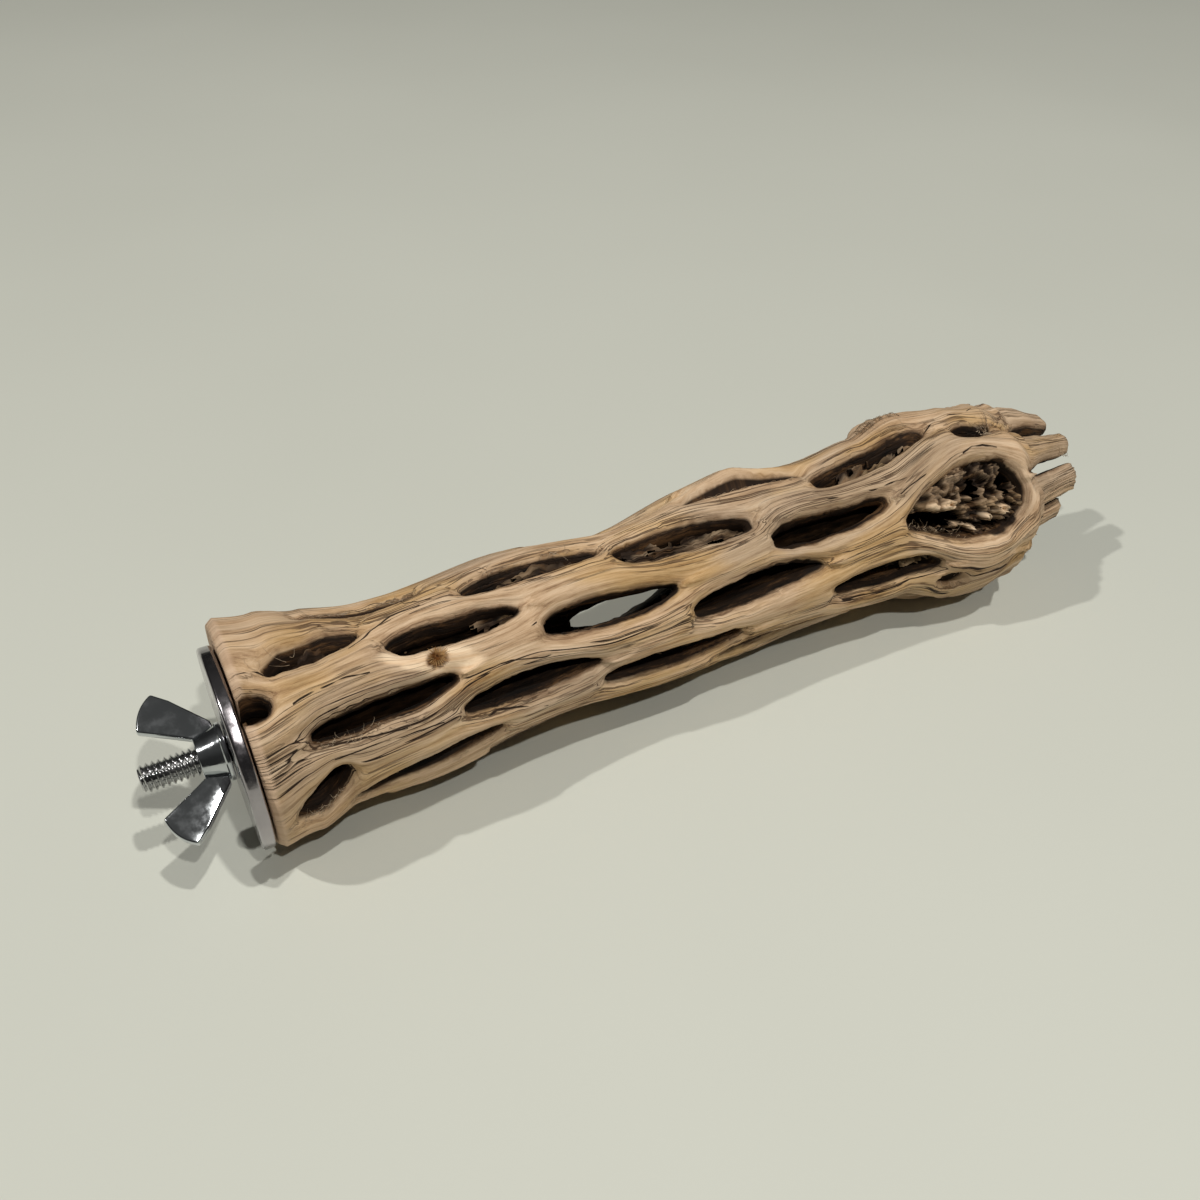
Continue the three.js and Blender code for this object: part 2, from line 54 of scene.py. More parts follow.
# Camera: the place of the lens from the sawn end's foot, its heading and its dip
CAMERA_AT = (-10.35, -188.64, 217.44)
CAMERA_HEADING = 27.13
CAMERA_DIP = 40.93
PICTURE_SIZE = 1200
CAMERA_FOCAL = 1180
SENSOR = 36.0

# Stud, washer and wing nut, as in the solids
STUD_HEIGHT = 26.4
THREAD_RADIUS = 3.175
THREAD_PITCH = 1.27
THREAD_DEPTH = 0.72
THREAD_STEPS = 10
THREAD_END_X = 1.0
THREAD_CREST = 0.12
THREAD_FLANK = 0.76
STUD_SIDES = 64
STUD_TIP_X = -22.3
STUD_INNER_END_X = 22
STUD_SHANK_RADIUS = 2.75
WASHER_EDGE = 0.7
WASHER_HOLE_RADIUS = 3.7
WASHER_HOLE_EDGE = 0.2
WASHER_SIDES = 192
NUT_BASE_RADIUS = 6.6
NUT_TOP_RADIUS = 4.9
NUT_BASE_HEIGHT = 1.2
NUT_HEIGHT = 6.2
NUT_EDGE = 0.35
NUT_BORE_RADIUS = 3.475
NUT_BORE_EDGE = 0.3
NUT_SIDES = 96
WING_THICKNESS = 2.2
WING_TILT = 23
WING_OUTLINE = [(1.2, 4.6), (1.5, 7.6), (8.2, 15.2), (11.4, 17.9)]
WING_TIP_BULGE = (15.6, 15.6)
WING_OUTLINE_BACK = [(16.4, 10.2), (10.2, 6.9), (5.7, 4.4)]
WING_TIP_STEPS = 12
WING_EDGE = 0.5

# Trunk, as in the solids: centre line, outer radius and core radius against x
TRUNK_Y = [(0, 3.5), (14, 3.2), (36, 1.1), (70, 4), (95, 2.5), (130, 5.8), (150, 4.3), (172, 4.9),
           (200, 2.5), (230, 3.5)]
TRUNK_Z = [(0, 26.2), (190, 25.7), (230, 25.4)]
TRUNK_RADIUS = [(0, 26.6), (10, 25.3), (20, 23.2), (34, 21.8), (62, 21.5), (92, 20.6), (128, 22.5),
                (150, 21.4), (168, 22.2), (182, 25.2), (192, 25.7), (201, 24.6), (207, 21.6),
                (212, 17.6), (217, 16.4), (232, 15.6)]
CORE_RADIUS = [(0, 11.9), (36, 11.9), (60, 11.3), (150, 11.6), (185, 12.1), (212, 10.6), (232, 10.4)]
CORE_STRAIGHT_END_X = 32
CORE_BLEND_LENGTH = 30
SAWN_CHAMFER = 1.5
SMOOTH_SAWN_LENGTH = 2.5
FLOOR_Z = 1
TUBE_RADIUS = 17.0
OUTER_ROUNDING = 3.4
INNER_ROUNDING = 2.8
STRAND_BLEND = 1.4

# Long holes in eight leaning rows: x, angle, half length, half width, slant, taper towards +x
HOLES = [
    (0, 56, 5.2, 1.6, 0, 0), (28, 35.5, 16, 1.9, 4, 0.15), (62, 13.5, 16.5, 2.1, -3, 0.2),
    (99, -8, 18, 2.2, 0, 0.2), (131, -32, 17.5, 2.2, -4, 0), (168, -45, 12.5, 2.2, -4, 0),
    (198, -62, 6, 2, 0, 0),
    (17.5, 81, 10.5, 1.6, 13, 0), (48, 69, 15, 2.2, -5, 0.2), (84.5, 46, 16.5, 2.4, 0, 0.3),
    (123, 24, 18, 2.3, 0, 0.2), (160, -1, 15, 2.3, 0, 0.1),
    (31, 116, 12, 2.6, 0, 0), (70.5, 95, 16.5, 2.3, 0, 0.2), (108, 77, 17.5, 2.8, -10, 0.2),
    (146.5, 51, 16, 2.4, 2, 0.2), (183.5, 35.5, 16.5, 7, 3, -0.45),
    (18, 171, 12, 2.4, -4, 0), (57, 150, 17, 2.4, -2, 0.2), (95, 129, 17.5, 2.3, -4, 0.1),
    (165, 90, 16.5, 2.5, 2, 0.2), (194.5, 83, 5, 1.5, 0, 0),
    (1, 227, 7, 2.4, 0, 0), (36, 210, 13, 2.2, -3, 0.2), (84, 187, 18, 2.5, 2, 0.2),
    (119, 160, 17, 2.5, -6, 0), (155, 139, 16.5, 2.4, 0, 0.2), (190, 128, 10, 2.6, 0, 0),
    (28, 255, 16.5, 2.4, 3, 0.2), (66, 235, 17, 2.2, -2, 0.1), (103, 219, 18, 2.8, -4, 0.2),
    (145, 183, 16, 2.5, 0, 0.2), (174, 163, 15, 2.6, -4, 0),
    (14, 307, 10, 2.4, 6, 0), (52, 287, 17, 2.4, -4, 0.2), (95, 269, 18, 2.1, 0, 0.2),
    (120, 241, 15.5, 2, -4, 0.1), (158, 232, 16, 2, 2, 0.2), (195, 208, 8, 2.2, 0, 0),
    (12, -6, 6.8, 3, 30, 0), (36, -20, 17, 3.2, 6, 0.1), (68, -40, 16, 2.4, -4, 0),
    (101, -56, 16.5, 2.4, 2, 0.2), (139, -77, 17.5, 2.4, -3, 0.1), (176, -98, 15, 2.5, 0, 0),
]
# Hollows that stop short of the core: x, angle, half length, half width, slant, depth
HOLLOWS = [(131, 104, 15, 2.8, -2, 5), (179.5, -14.5, 3.5, 2, 4, 3.5)]
# Swellings: x, angle, height, half length, half width
SWELLINGS = [
    (185, 37, 2.4, 21, 15), (203, 32, 2, 6, 13), (41, 57, 1.3, 11, 7), (181, 122, 1.6, 7, 6),
    (131, 119, 1.4, 5, 5), (214, 106, 4.4, 9, 12), (186, -40, 0.8, 14, 12), (178, 200, 1.4, 12, 10),
    (60, 262, 1, 14, 8), (118, 300, 1, 14, 9),
]
# Fingers: angle and x of the tip. Notches: angle, x of the start, half width
FINGERS = [(100, 227), (61, 228.5), (18, 228.5), (-24, 225), (-68, 221), (-112, 226), (-155, 219),
           (142, 223)]
NOTCHES = [(80, 210, 1.1), (42, 209, 1.25), (-3, 212, 0.9), (-46, 208, 1.6), (-90, 206, 2),
           (-134, 209, 1.8), (-174, 206, 1.9), (121, 211, 1.6)]
NOTCH_HALF_LENGTH = 26
TIP_SHARPNESS = 3.2

# Pale torn patch round a lost branch, and its dark heart: x, angle, half length, half width, slant
SCAR = (41.5, 54, 11.5, 2.3, -16)
SCAR_HEART = (41.7, 55, 2.4, 1.8, 0)
SCAR_DEPTH = 0.35
SCAR_HEART_DEPTH = 0.8

# Cracks and long dark lines, each through places (x, angle)
CRACKS = [
    (0.25, [(0, 19.5), (8, 24), (13, 25), (31, 22.5)]), (0.2, [(0, 71), (5, 72.5), (10, 71)]),
    (0.2, [(10.5, 50.5), (16.5, 55.5), (27, 58)]), (0.16, [(40, 98), (48, 92), (56, 84), (75, 77.5)]),
    (0.2, [(15, 17), (25, 18.5), (39, 17)]), (0.18, [(36, 37), (46, 38), (57, 35), (68, 29)]),
    (0.2, [(43, 8), (52, 6), (64, -5)]), (0.22, [(25, 76), (31, 85), (36, 90), (43, 91.5)]),
    (0.18, [(50, 50.5), (59, 47), (66, 51)]), (0.24, [(186, 64), (189, 66.6), (192, 66.8), (196, 64)]),
    (0.3, [(181, -10), (187, -11.5), (195, -11)]), (0.18, [(166, 54), (171, 57.5), (177, 61.5)]),
    (0.18, [(181, 89), (190, 97), (200, 98.5)]), (0.2, [(145, 69), (156, 63.5), (170, 62)]),
]

# Rests of dark fibrous pith in some holes: hole's x and angle, level in the wall, cover, seed
LININGS = [
    ((17.5, 81), 0.42, -0.15, 1), ((48, 69), 0.36, 0.1, 2), ((31, 116), 0.5, 0.6, 3),
    ((70.5, 95), 0.46, 0.6, 4), ((108, 77), 0.42, 0.3, 5), ((99, -8), 0.34, 0.05, 6),
    ((160, -1), 0.36, 0.2, 7), ((36, -20), 0.4, 0.3, 8), ((165, 90), 0.44, 0.4, 9),
    ((190, 128), 0.6, 0.6, 10), ((57, 150), 0.4, 0.1, 11), ((139, -77), 0.36, 0.1, 12),
]
# Holes whose depths hold one near-black sheet of painted shade: the hole's x and angle
PAINTED_SHADE_HOLES = [(28, 35.5), (146.5, 51), (0, 56), (12, -6), (62, 13.5), (17.5, 81), (48, 69), (108, 77),
              (165, 90), (123, 24), (160, -1), (99, -8), (31, 116), (36, -20), (18, 171), (1, 227),
              (28, 255), (14, 307)]
# Knot hole: its place, the lip where the painted shade of the depths starts deeper, and the gaps and
# pale chips of its crumbling pith, each x, angle, half length, half width, slant
KNOT_HOLE = (183.5, 35.5)
KNOT_LIP = (184, 35.5, 19, 10, 3)
KNOT_LIP_LESS_SHADE = 0.42
KNOT_PITH_REACH = (18, 11)
KNOT_PITH_END_X = 206
KNOT_GAPS = [(174.5, 31, 7.5, 1.5, -12), (187, 42.5, 1.3, 2.9, 0), (197, 47, 1.5, 3.4, 10),
             (193, 16.5, 4.4, 1.1, -6)]
KNOT_CHIPS = [(175, 38.5, 1.7, 0.7, -20), (179, 37, 1.7, 1.3, 0), (189.5, 23.5, 1.7, 0.8, -30),
              (194, 26.5, 1.9, 1.1, 0), (183, 20.5, 3.5, 0.5, -15)]

# Frayed fibres: start (x, angle), end (x, angle), how many, length, lean across the fibres
FRAYS = [
    ((13, 26.5), (24, 25), 34, 1.5, 4), ((24, 25), (36, 24.5), 14, 1.5, 3),
    ((6, -19), (12, -13), 30, 1.3, 6), ((12, -13), (16, -5), 16, 1.3, 5),
    ((11, 74), (15, 76), 3, 4, 12), ((166, 29), (181, 19), 30, 1.6, 5),
    ((196, 80), (203, 82), 30, 2.2, 12), ((21, 118), (41, 113), 40, 3.5, 6),
    ((171, 117), (181, 113), 60, 0.8, 16), ((117, 93), (145, 93), 30, 2.4, 7),
    ((176, -17), (183, -19), 12, 1.4, 7), ((60, 103), (84, 100), 24, 3, 6),
    ((222, 47), (226, 47), 12, 1.4, 8),
]
FRAY_STEPS = 6
SCAR_FIBRES = 150
RADIUS_AT_SCAR = 23

# Floor, lamps (name, place in metres, watts) and the faint light of the room
FLOOR_HALF_SIZE = 4.0
LAMPS = [("left_lamp", (-1.2, 0.26, 1.73), 15.5), ("front_lamp", (0.085, -1.1, 1.73), 12.5),
         ("near_lamp", (0.265, -0.45, 1.73), 12)]
LAMP_SIZE = 0.06
LAMP_COLOUR = (1, 0.98, 0.945)
ROOM_LIGHT = 0.08

# Fine grid of the trunk's wall
COLUMNS = 236
ROW_STEP = 0.93
GRID_END_X = 233
SNAP_SHARE = 0.3
SOLVER_STEPS = 500
HOLE_PULL = 300

seeded = np.random.default_rng(7)

sawn_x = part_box("trunk")[0].x / MM
washer_low, washer_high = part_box("washer")
axis_y = (washer_low.y + washer_high.y) / 2 / MM
axis_z = (washer_low.z + washer_high.z) / 2 / MM
TO_ROW = np.array([sawn_x, axis_y, axis_z - STUD_HEIGHT])


def to_row(points):
    """Points in millimetres from the sawn end's foot, as metres in the row frame."""
    return (np.asarray(points, float) + TO_ROW) * MM


def clamp01(value):
    return np.clip(value, 0.0, 1.0)


def smooth_step(value):
    value = clamp01(value)
    return value * value * (3 - 2 * value)


def turn_between(start, end):
    return (end - start + 540.0) % 360.0 - 180.0


def along(points, x):
    """Smooth line through a list of (x, value) points."""
    xs, values = np.array(points, float).T
    x = np.asarray(x, float)
    k = np.clip(np.searchsorted(xs, x, side="left"), 1, len(xs) - 1)
    before = np.maximum(k - 2, 0)
    after = np.minimum(k + 1, len(xs) - 1)
    x0, x1, a, b = xs[k - 1], xs[k], values[k - 1], values[k]
    span = x1 - x0
    slope_a = (b - values[before]) / (x1 - xs[before]) * span
    slope_b = (values[after] - a) / (xs[after] - x0) * span
    t = clamp01((x - x0) / span)
    bend = slope_a * (t - 1) - slope_b * t
    return a + (b - a) * (3 * t * t - 2 * t**3) - t * (1 - t) * bend


def across(angle):
    turn = np.radians(angle)
    return np.stack([np.zeros_like(turn), -np.cos(turn), np.sin(turn)], -1)


def wall_radius(x):
    return (along(TRUNK_RADIUS, x) + along(CORE_RADIUS, x)) / 2


def in_spot(x, angle, spot_x, spot_angle, slant):
    """Place along and across a spot's long axis."""
    run = x - spot_x
    side = np.radians(turn_between(spot_angle, angle)) * wall_radius(x)
    turn = math.radians(slant)
    return (run * math.cos(turn) + side * math.sin(turn),
            side * math.cos(turn) - run * math.sin(turn))


def outside_ellipse(p, q, half_length, half_width):
    reach = np.hypot(p / half_length, q / half_width)
    slope = np.hypot(p / half_length**2, q / half_width**2)
    return reach * (reach - 1) / np.maximum(slope, 1e-9)


def noise(points, seed=0):
    """Smooth lattice noise between -1 and 1 at points of three coordinates."""
    cell = np.floor(points).astype(np.int64)
    part = points - cell
    part = part * part * part * (part * (part * 6 - 15) + 10)
    total = np.zeros(points.shape[:-1])
    for corner in range(8):
        step = np.array([corner & 1, corner >> 1 & 1, corner >> 2 & 1])
        at = (cell + step) * (73856093, 19349663, 83492791)
        mixed = at[..., 0] ^ at[..., 1] ^ at[..., 2] ^ (seed * 2654435761)
        mixed = (mixed ^ (mixed >> 13)) * 1274126177 & 0xFFFFFFFF
        mixed = (mixed ^ (mixed >> 16)) * 2246822519 & 0xFFFFFFFF
        value = ((mixed ^ (mixed >> 15)) & 0xFFFF) / 32767.5 - 1
        weight = np.prod(np.where(step, part, 1 - part), axis=-1)
        total += weight * value
    return total


def on_tube(x, angle, radius=TUBE_RADIUS):
    """Place on an even tube, for noise that meets itself round the trunk."""
    turn = np.radians(angle)
    return np.stack([x, radius * np.cos(turn), radius * np.sin(turn)], -1)


def smooth_min(a, b, width):
    mix = clamp01(0.5 + (b - a) / (2 * width))
    return b + (a - b) * mix - width * mix * (1 - mix)


def wood_depth(x, angle):
    """Distance from a point of the wall to the nearest hole, notch or tip, negative in air."""
    depth = np.full(x.shape, 2.0 * OUTER_ROUNDING)
    for hole_x, hole_angle, half_length, half_width, slant, taper in HOLES:
        near = np.abs(x - hole_x) < half_length + 12
        p, q = in_spot(x[near], angle[near], hole_x, hole_angle, slant)
        width = np.maximum(half_width * (1 - taper * p / half_length), 0.5 * half_width)
        depth[near] = smooth_min(depth[near], outside_ellipse(p, q, half_length, width), STRAND_BLEND)
    for notch_angle, start_x, half_width in NOTCHES:
        p, q = in_spot(x, angle, start_x + NOTCH_HALF_LENGTH, notch_angle, 0)
        distance = outside_ellipse(p, q, NOTCH_HALF_LENGTH, half_width * 1.2)
        depth = smooth_min(depth, distance, STRAND_BLEND)
    turns = np.array([np.abs(turn_between(finger, angle)) for finger, _ in FINGERS])
    tips = np.array([tip for _, tip in FINGERS])[turns.argmin(0)]
    depth = smooth_min(depth, (tips - x) * TIP_SHARPNESS, STRAND_BLEND)
    place = on_tube(x, angle)
    ragged = 0.3 * noise(place / (7, 4, 4), 3) + 0.16 * noise(place / (2.2, 1.3, 1.3), 4)
    return depth + ragged * smooth_step(x / 4)


def swelling(x, angle):
    total = np.zeros(x.shape)
    for spot_x, spot_angle, height, half_length, half_width in SWELLINGS:
        p, q = in_spot(x, angle, spot_x, spot_angle, 0)
        total += height * np.exp(-((p / half_length) ** 2) - (q / half_width) ** 2)
    return total


def hollow(x, angle):
    total = np.zeros(x.shape)
    for spot_x, spot_angle, half_length, half_width, slant, depth in HOLLOWS:
        p, q = in_spot(x, angle, spot_x, spot_angle, slant)
        total += depth * smooth_step((1.4 - np.hypot(p / half_length, q / half_width)) / 0.6)
    return total


def outer_face(x, angle):
    chamfer = SAWN_CHAMFER * (1 - clamp01(x / SAWN_CHAMFER))
    radius = along(TRUNK_RADIUS, x) + swelling(x, angle) - hollow(x, angle) - chamfer
    centre = np.stack([x, along(TRUNK_Y, x), along(TRUNK_Z, x)], -1)
    return centre + across(angle) * radius[..., None]


def core_face(x, angle):
    bend = smooth_step((x - CORE_STRAIGHT_END_X) / CORE_BLEND_LENGTH)
    y = along(TRUNK_Y, x) * bend
    z = STUD_HEIGHT + (along(TRUNK_Z, x) - STUD_HEIGHT) * bend
    return np.stack([x, y, z], -1) + across(angle) * along(CORE_RADIUS, x)[..., None]


def rounding(depth, width):
    return np.sqrt(1 - (1 - clamp01(depth / width)) ** 2)[..., None]


def grid_rows():
    start = np.array([0, 0.5, 1.0, SAWN_CHAMFER])
    return np.concatenate([start, np.arange(SAWN_CHAMFER + ROW_STEP, GRID_END_X, ROW_STEP)])


def fibre_turns(rows, angles):
    """How far, in degrees, the fibres lean round the trunk at each grid point.

    The fibres are the stream lines of a flow along the trunk: holes act as bodies that pull
    no flow through, so the lines part before each hole and close behind it.
    """
    x, angle = np.meshgrid(rows, angles, indexing="ij")
    depth = wood_depth(x, angle)
    for spot_x, spot_angle, half_length, half_width, slant, _ in HOLLOWS:
        p, q = in_spot(x, angle, spot_x, spot_angle, slant)
        depth = np.minimum(depth, outside_ellipse(p, q, half_length, half_width))
    stiff = np.where(depth < 0.2, HOLE_PULL, 1.0)
    row_step = np.diff(rows)[:, None]
    side_step = math.radians(angles[1] - angles[0]) * TUBE_RADIUS
    down = (stiff[1:] + stiff[:-1]) / 2 * side_step / row_step
    ring = (stiff + np.roll(stiff, -1, 1)) / 2 * ROW_STEP / side_step

    def spread(field):
        flow = down * (field[1:] - field[:-1])
        round_flow = ring * (np.roll(field, -1, 1) - field)
        out = np.roll(round_flow, 1, 1) - round_flow
        out[:-1] -= flow
        out[1:] += flow
        return out

    push = ring * side_step
    target = push - np.roll(push, 1, 1)
    weight = ring + np.roll(ring, 1, 1)
    weight[:-1] += down
    weight[1:] += down
    field = np.zeros_like(stiff)
    rest = target - spread(field)
    ahead = rest / weight
    way = ahead.copy()
    size = (rest * ahead).sum()
    for _ in range(SOLVER_STEPS):
        pulled = spread(way)
        share = size / (way * pulled).sum()
        field += share * way
        rest -= share * pulled
        ahead = rest / weight
        new_size = (rest * ahead).sum()
        way = ahead + new_size / size * way
        size = new_size
        if size < 1e-9:
            break
    return np.degrees(field / TUBE_RADIUS)


def sample_ring(field, rows, x, angle):
    """Field values between the points of the unstaggered grid."""
    row = np.interp(x, rows, np.arange(len(rows)))
    column = (angle / 360 * field.shape[1]) % field.shape[1]
    r0 = np.clip(row.astype(int), 0, len(rows) - 2)
    c0 = column.astype(int) % field.shape[1]
    c1 = (c0 + 1) % field.shape[1]
    fr, fc = row - r0, column - np.floor(column)
    upper = field[r0, c0] * (1 - fc) + field[r0, c1] * fc
    lower = field[r0 + 1, c0] * (1 - fc) + field[r0 + 1, c1] * fc
    return upper * (1 - fr) + lower * fr


def trunk_grid(rows):
    """Staggered triangle grid round the trunk: points (x, angle) and triangles."""
    count = len(rows)
    row, column = np.meshgrid(np.arange(count), np.arange(COLUMNS), indexing="ij")
    angle = (column + row % 2 / 2) * 360 / COLUMNS
    x = np.repeat(rows[:, None], COLUMNS, 1)
    a = (row * COLUMNS + column)[:-1]
    b = (row * COLUMNS + (column + 1) % COLUMNS)[:-1]
    c, d = a + COLUMNS, b + COLUMNS
    odd = (row[:-1] % 2).astype(bool)
    first = np.where(odd[..., None], np.stack([a, b, d], -1), np.stack([a, b, c], -1))
    second = np.where(odd[..., None], np.stack([a, d, c], -1), np.stack([b, d, c], -1))
    return x.ravel(), angle.ravel(), np.concatenate([first.reshape(-1, 3), second.reshape(-1, 3)])


def edge_shares(x, angle, depth, a, b):
    """Share of the way from each a to each b where the wood ends."""
    low, high = np.zeros(len(a)), np.ones(len(a))
    turn = turn_between(angle[a], angle[b])
    for _ in range(12):
        middle = (low + high) / 2
        here = wood_depth(x[a] + (x[b] - x[a]) * middle, angle[a] + turn * middle)
        same = (here > 0) == (depth[a] > 0)
        low = np.where(same, middle, low)
        high = np.where(same, high, middle)
    return (low + high) / 2


def cut_sheet(rows):
    """The grid with the holes cut out of it: x, angle and depth of its points, and triangles."""
    x, angle, triangles = trunk_grid(rows)
    depth = wood_depth(x, angle)
    sides = np.concatenate([triangles[:, [0, 1]], triangles[:, [1, 2]], triangles[:, [2, 0]]])
    edges = np.unique(np.sort(sides, 1), axis=0)
    edges = edges[depth[edges[:, 0]] * depth[edges[:, 1]] < 0]
    a, b = edges.T
    shares = edge_shares(x, angle, depth, a, b)
    turn = turn_between(angle[a], angle[b])
    cut_x = x[a] + (x[b] - x[a]) * shares
    cut_angle = angle[a] + turn * shares

    # Grid points close to a hole's edge move on to it, nearest first
    moves = sorted([(share, e, a[e], b[e]) for e, share in enumerate(shares)]
                   + [(1 - share, e, b[e], a[e]) for e, share in enumerate(shares)])
    moved = {}
    for share, e, point, other in moves:
        if share > SNAP_SHARE or point in moved or other in moved:
            continue
        if x[point] == 0 and x[other] != 0:
            continue
        moved[point] = e
    for point, e in moved.items():
        x[point], angle[point], depth[point] = cut_x[e], cut_angle[e], 0.0

    cuts = {}
    new_points = []
    for e, (start, end) in enumerate(zip(a, b)):
        if start not in moved and end not in moved:
            cuts[(start, end)] = len(x) + len(new_points)
            new_points.append(e)
    x = np.concatenate([x, cut_x[new_points]])
    angle = np.concatenate([angle, cut_angle[new_points]])
    depth = np.concatenate([depth, np.zeros(len(new_points))])

    signs = np.sign(depth[triangles])
    whole = (signs.min(1) >= 0) & (signs.max(1) > 0)
    kept = [triangles[whole]]
    crossed = triangles[(signs.min(1) < 0) & (signs.max(1) > 0)]
    pieces = []
    for triangle in crossed.tolist():
        outline = []
        for side in range(3):
            start, end = triangle[side], triangle[(side + 1) % 3]
            if depth[start] >= 0:
                outline.append(start)
            if depth[start] * depth[end] < 0:
                outline.append(cuts[(min(start, end), max(start, end))])
        pieces.append(outline[:3])
        if len(outline) == 4:
            pieces.append([outline[0], outline[2], outline[3]])
    kept.append(np.array(pieces))
    return x, angle, depth, np.concatenate(kept)


def unit(vectors):
    return vectors / np.maximum(np.linalg.norm(vectors, axis=-1, keepdims=True), 1e-12)


def mesh_normals(points, faces):
    corners = points[faces]
    face_normals = np.cross(corners[:, 1] - corners[:, 0], corners[:, 2] - corners[:, 0])
    normals = np.zeros_like(points)
    for corner in range(3):
        np.add.at(normals, faces[:, corner], face_normals)
    return unit(normals)


def new_mesh(name, points, faces, smooth=True):
    mesh = bpy.data.meshes.new(name)
    mesh.from_pydata(points.tolist() if hasattr(points, "tolist") else points, [],
                     faces.tolist() if hasattr(faces, "tolist") else faces)
    mesh.update()
    mesh.polygons.foreach_set("use_smooth", [smooth] * len(mesh.polygons))
    thing = bpy.data.objects.new(name, mesh)
    bpy.context.scene.collection.objects.link(thing)
    return thing


def add_attributes(thing, **attributes):
    for name, values in attributes.items():
        kind, field = ("FLOAT", "value") if values.ndim == 1 else ("FLOAT_VECTOR", "vector")
        attribute = thing.data.attributes.new(name, kind, "POINT")
        attribute.data.foreach_set(field, values.astype(np.float32).ravel())


def inside_trunk(points):
    """Points in millimetres as metres, kept inside the box of the solids' trunk."""
    low, high = (np.array(corner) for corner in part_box("trunk"))
    return np.clip(to_row(points), low, high)


def finish_wood(thing, material):
    thing.data.materials.append(material)
    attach(thing, "perch")


def relief(grain, deep):
    """Height of the wood's own relief in millimetres, from places in the fibres' coordinates."""
    broad = 0.3 * noise(grain / (28, 5, 5), 11)
    ridges = 0.2 * noise(grain / (22, 1.9, 1.9), 12)
    fine = 0.13 * noise(grain / (11, 1.05, 1.05), 13)
    grooves = -0.5 * clamp01(noise(grain / (34, 1.5, 1.5), 14) - 0.35)
    torn = deep * (0.35 * noise(grain / (6, 1.3, 1.3), 15) + 0.2 * noise(grain / (2.4, 1.6, 1.6), 16))
    return broad + ridges + fine + grooves + torn


def spot_share(x, angle, spot, ragged=0.2):
    """Share of a ragged oval spot at places of the wall."""
    spot_x, spot_angle, half_length, half_width, slant = spot
    p, q = in_spot(x, angle, spot_x, spot_angle, slant)
    edge = ragged * noise(on_tube(x, angle) / (4, 1.6, 1.6), 31)
    return smooth_step((1.12 + edge - np.hypot(p / half_length, q / half_width)) / 0.25)


def close_wall(x, angle, depth, sheet):
    """Two-sided wall from the cut sheet: points, faces, and which sheet points each side uses."""
    outer, core = outer_face(x, angle), core_face(x, angle)
    lip = (outer + core) / 2
    inside = depth > 0
    outer_points = lip + (outer - lip) * rounding(depth, OUTER_ROUNDING)
    inner_points = lip + (core - lip) * rounding(depth, INNER_ROUNDING)

    used = np.zeros(len(x), bool)
    used[sheet.ravel()] = True
    outer_index = np.cumsum(used) - 1
    has_inner = used & inside
    inner_index = np.where(inside, used.sum() + np.cumsum(has_inner) - 1, outer_index)
    points = np.concatenate([outer_points[used], inner_points[has_inner]])

    # The sawn face joins the two sides where x is 0
    sides = np.concatenate([sheet[:, [0, 1]], sheet[:, [1, 2]], sheet[:, [2, 0]]])
    start, end = sides[(x[sides[:, 0]] == 0) & (x[sides[:, 1]] == 0)].T
    flat = np.concatenate([
        np.stack([outer_index[start], outer_index[end], inner_index[end]], -1),
        np.stack([outer_index[start], inner_index[end], inner_index[start]], -1),
    ])
    flat = flat[(flat[:, 0] != flat[:, 1]) & (flat[:, 1] != flat[:, 2]) & (flat[:, 2] != flat[:, 0])]
    faces = np.concatenate([outer_index[sheet][:, [0, 2, 1]], inner_index[sheet], flat])
    return points, faces, used, has_inner


def make_trunk(material):
    rows = grid_rows()
    x, angle, depth, sheet = cut_sheet(rows)
    turns = sample_ring(fibre_turns(rows, np.arange(COLUMNS) * 360 / COLUMNS), rows, x, angle)
    points, faces, used, has_inner = close_wall(x, angle, depth, sheet)

    def both(values):
        return np.concatenate([values[used], values[has_inner]])

    is_inner = np.concatenate([np.zeros(used.sum()), np.ones(has_inner.sum())])
    place_x, place_angle = both(x), both(angle)
    below = np.linalg.norm(both(outer_face(x, angle)) - points, axis=1)
    scar = spot_share(place_x, place_angle, SCAR) * (1 - is_inner)
    heart = spot_share(place_x, place_angle, SCAR_HEART) * (1 - is_inner)
    grain = on_tube(place_x, place_angle + both(turns), TUBE_RADIUS - 0.8 * below)
    below += both(hollow(x, angle))
    # At the knot's lip the painted shade of the depths starts deeper
    below *= 1 - KNOT_LIP_LESS_SHADE * spot_share(place_x, place_angle, KNOT_LIP)
    below[place_x == 0] = 0
    is_inner[place_x == 0] = 0
    deep = np.maximum(smooth_step((below - 2.0) / 1.5), is_inner)

    sawn_fade = smooth_step(place_x / SMOOTH_SAWN_LENGTH)
    height = relief(grain, deep) * sawn_fade * np.where(is_inner > 0, 0.6, 1) * (1 - 0.7 * scar)
    height -= SCAR_DEPTH * scar + SCAR_HEART_DEPTH * heart
    points = points + mesh_normals(points, faces) * height[:, None]
    points[:, 2] = np.maximum(points[:, 2], FLOOR_Z)
    points[:, 0] = np.where(place_x == 0, 0, points[:, 0])

    trunk = new_mesh("trunk_wood", inside_trunk(points), faces)
    # deep marks the core's face and below the depth under the outer face; the wood material paints shade
    # from both
    add_attributes(trunk, grain=grain * MM, deep=is_inner, below=below, scar=scar, heart=heart,
                   place=on_tube(place_x, place_angle) * MM,
                   sawn=1 - smooth_step((place_x - SAWN_CHAMFER) / 0.8))
    finish_wood(trunk, material)
    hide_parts("trunk")


def from_spot(p, q, spot_x, spot_angle, slant):
    """Place (x, angle) of points given along and across a spot's long axis."""
    turn = math.radians(slant)
    x = spot_x + p * math.cos(turn) - q * math.sin(turn)
    side = p * math.sin(turn) + q * math.cos(turn)
    return x, spot_angle + np.degrees(side / wall_radius(x))


def hole_at(spot):
    return next(hole for hole in HOLES if hole[:2] == spot)


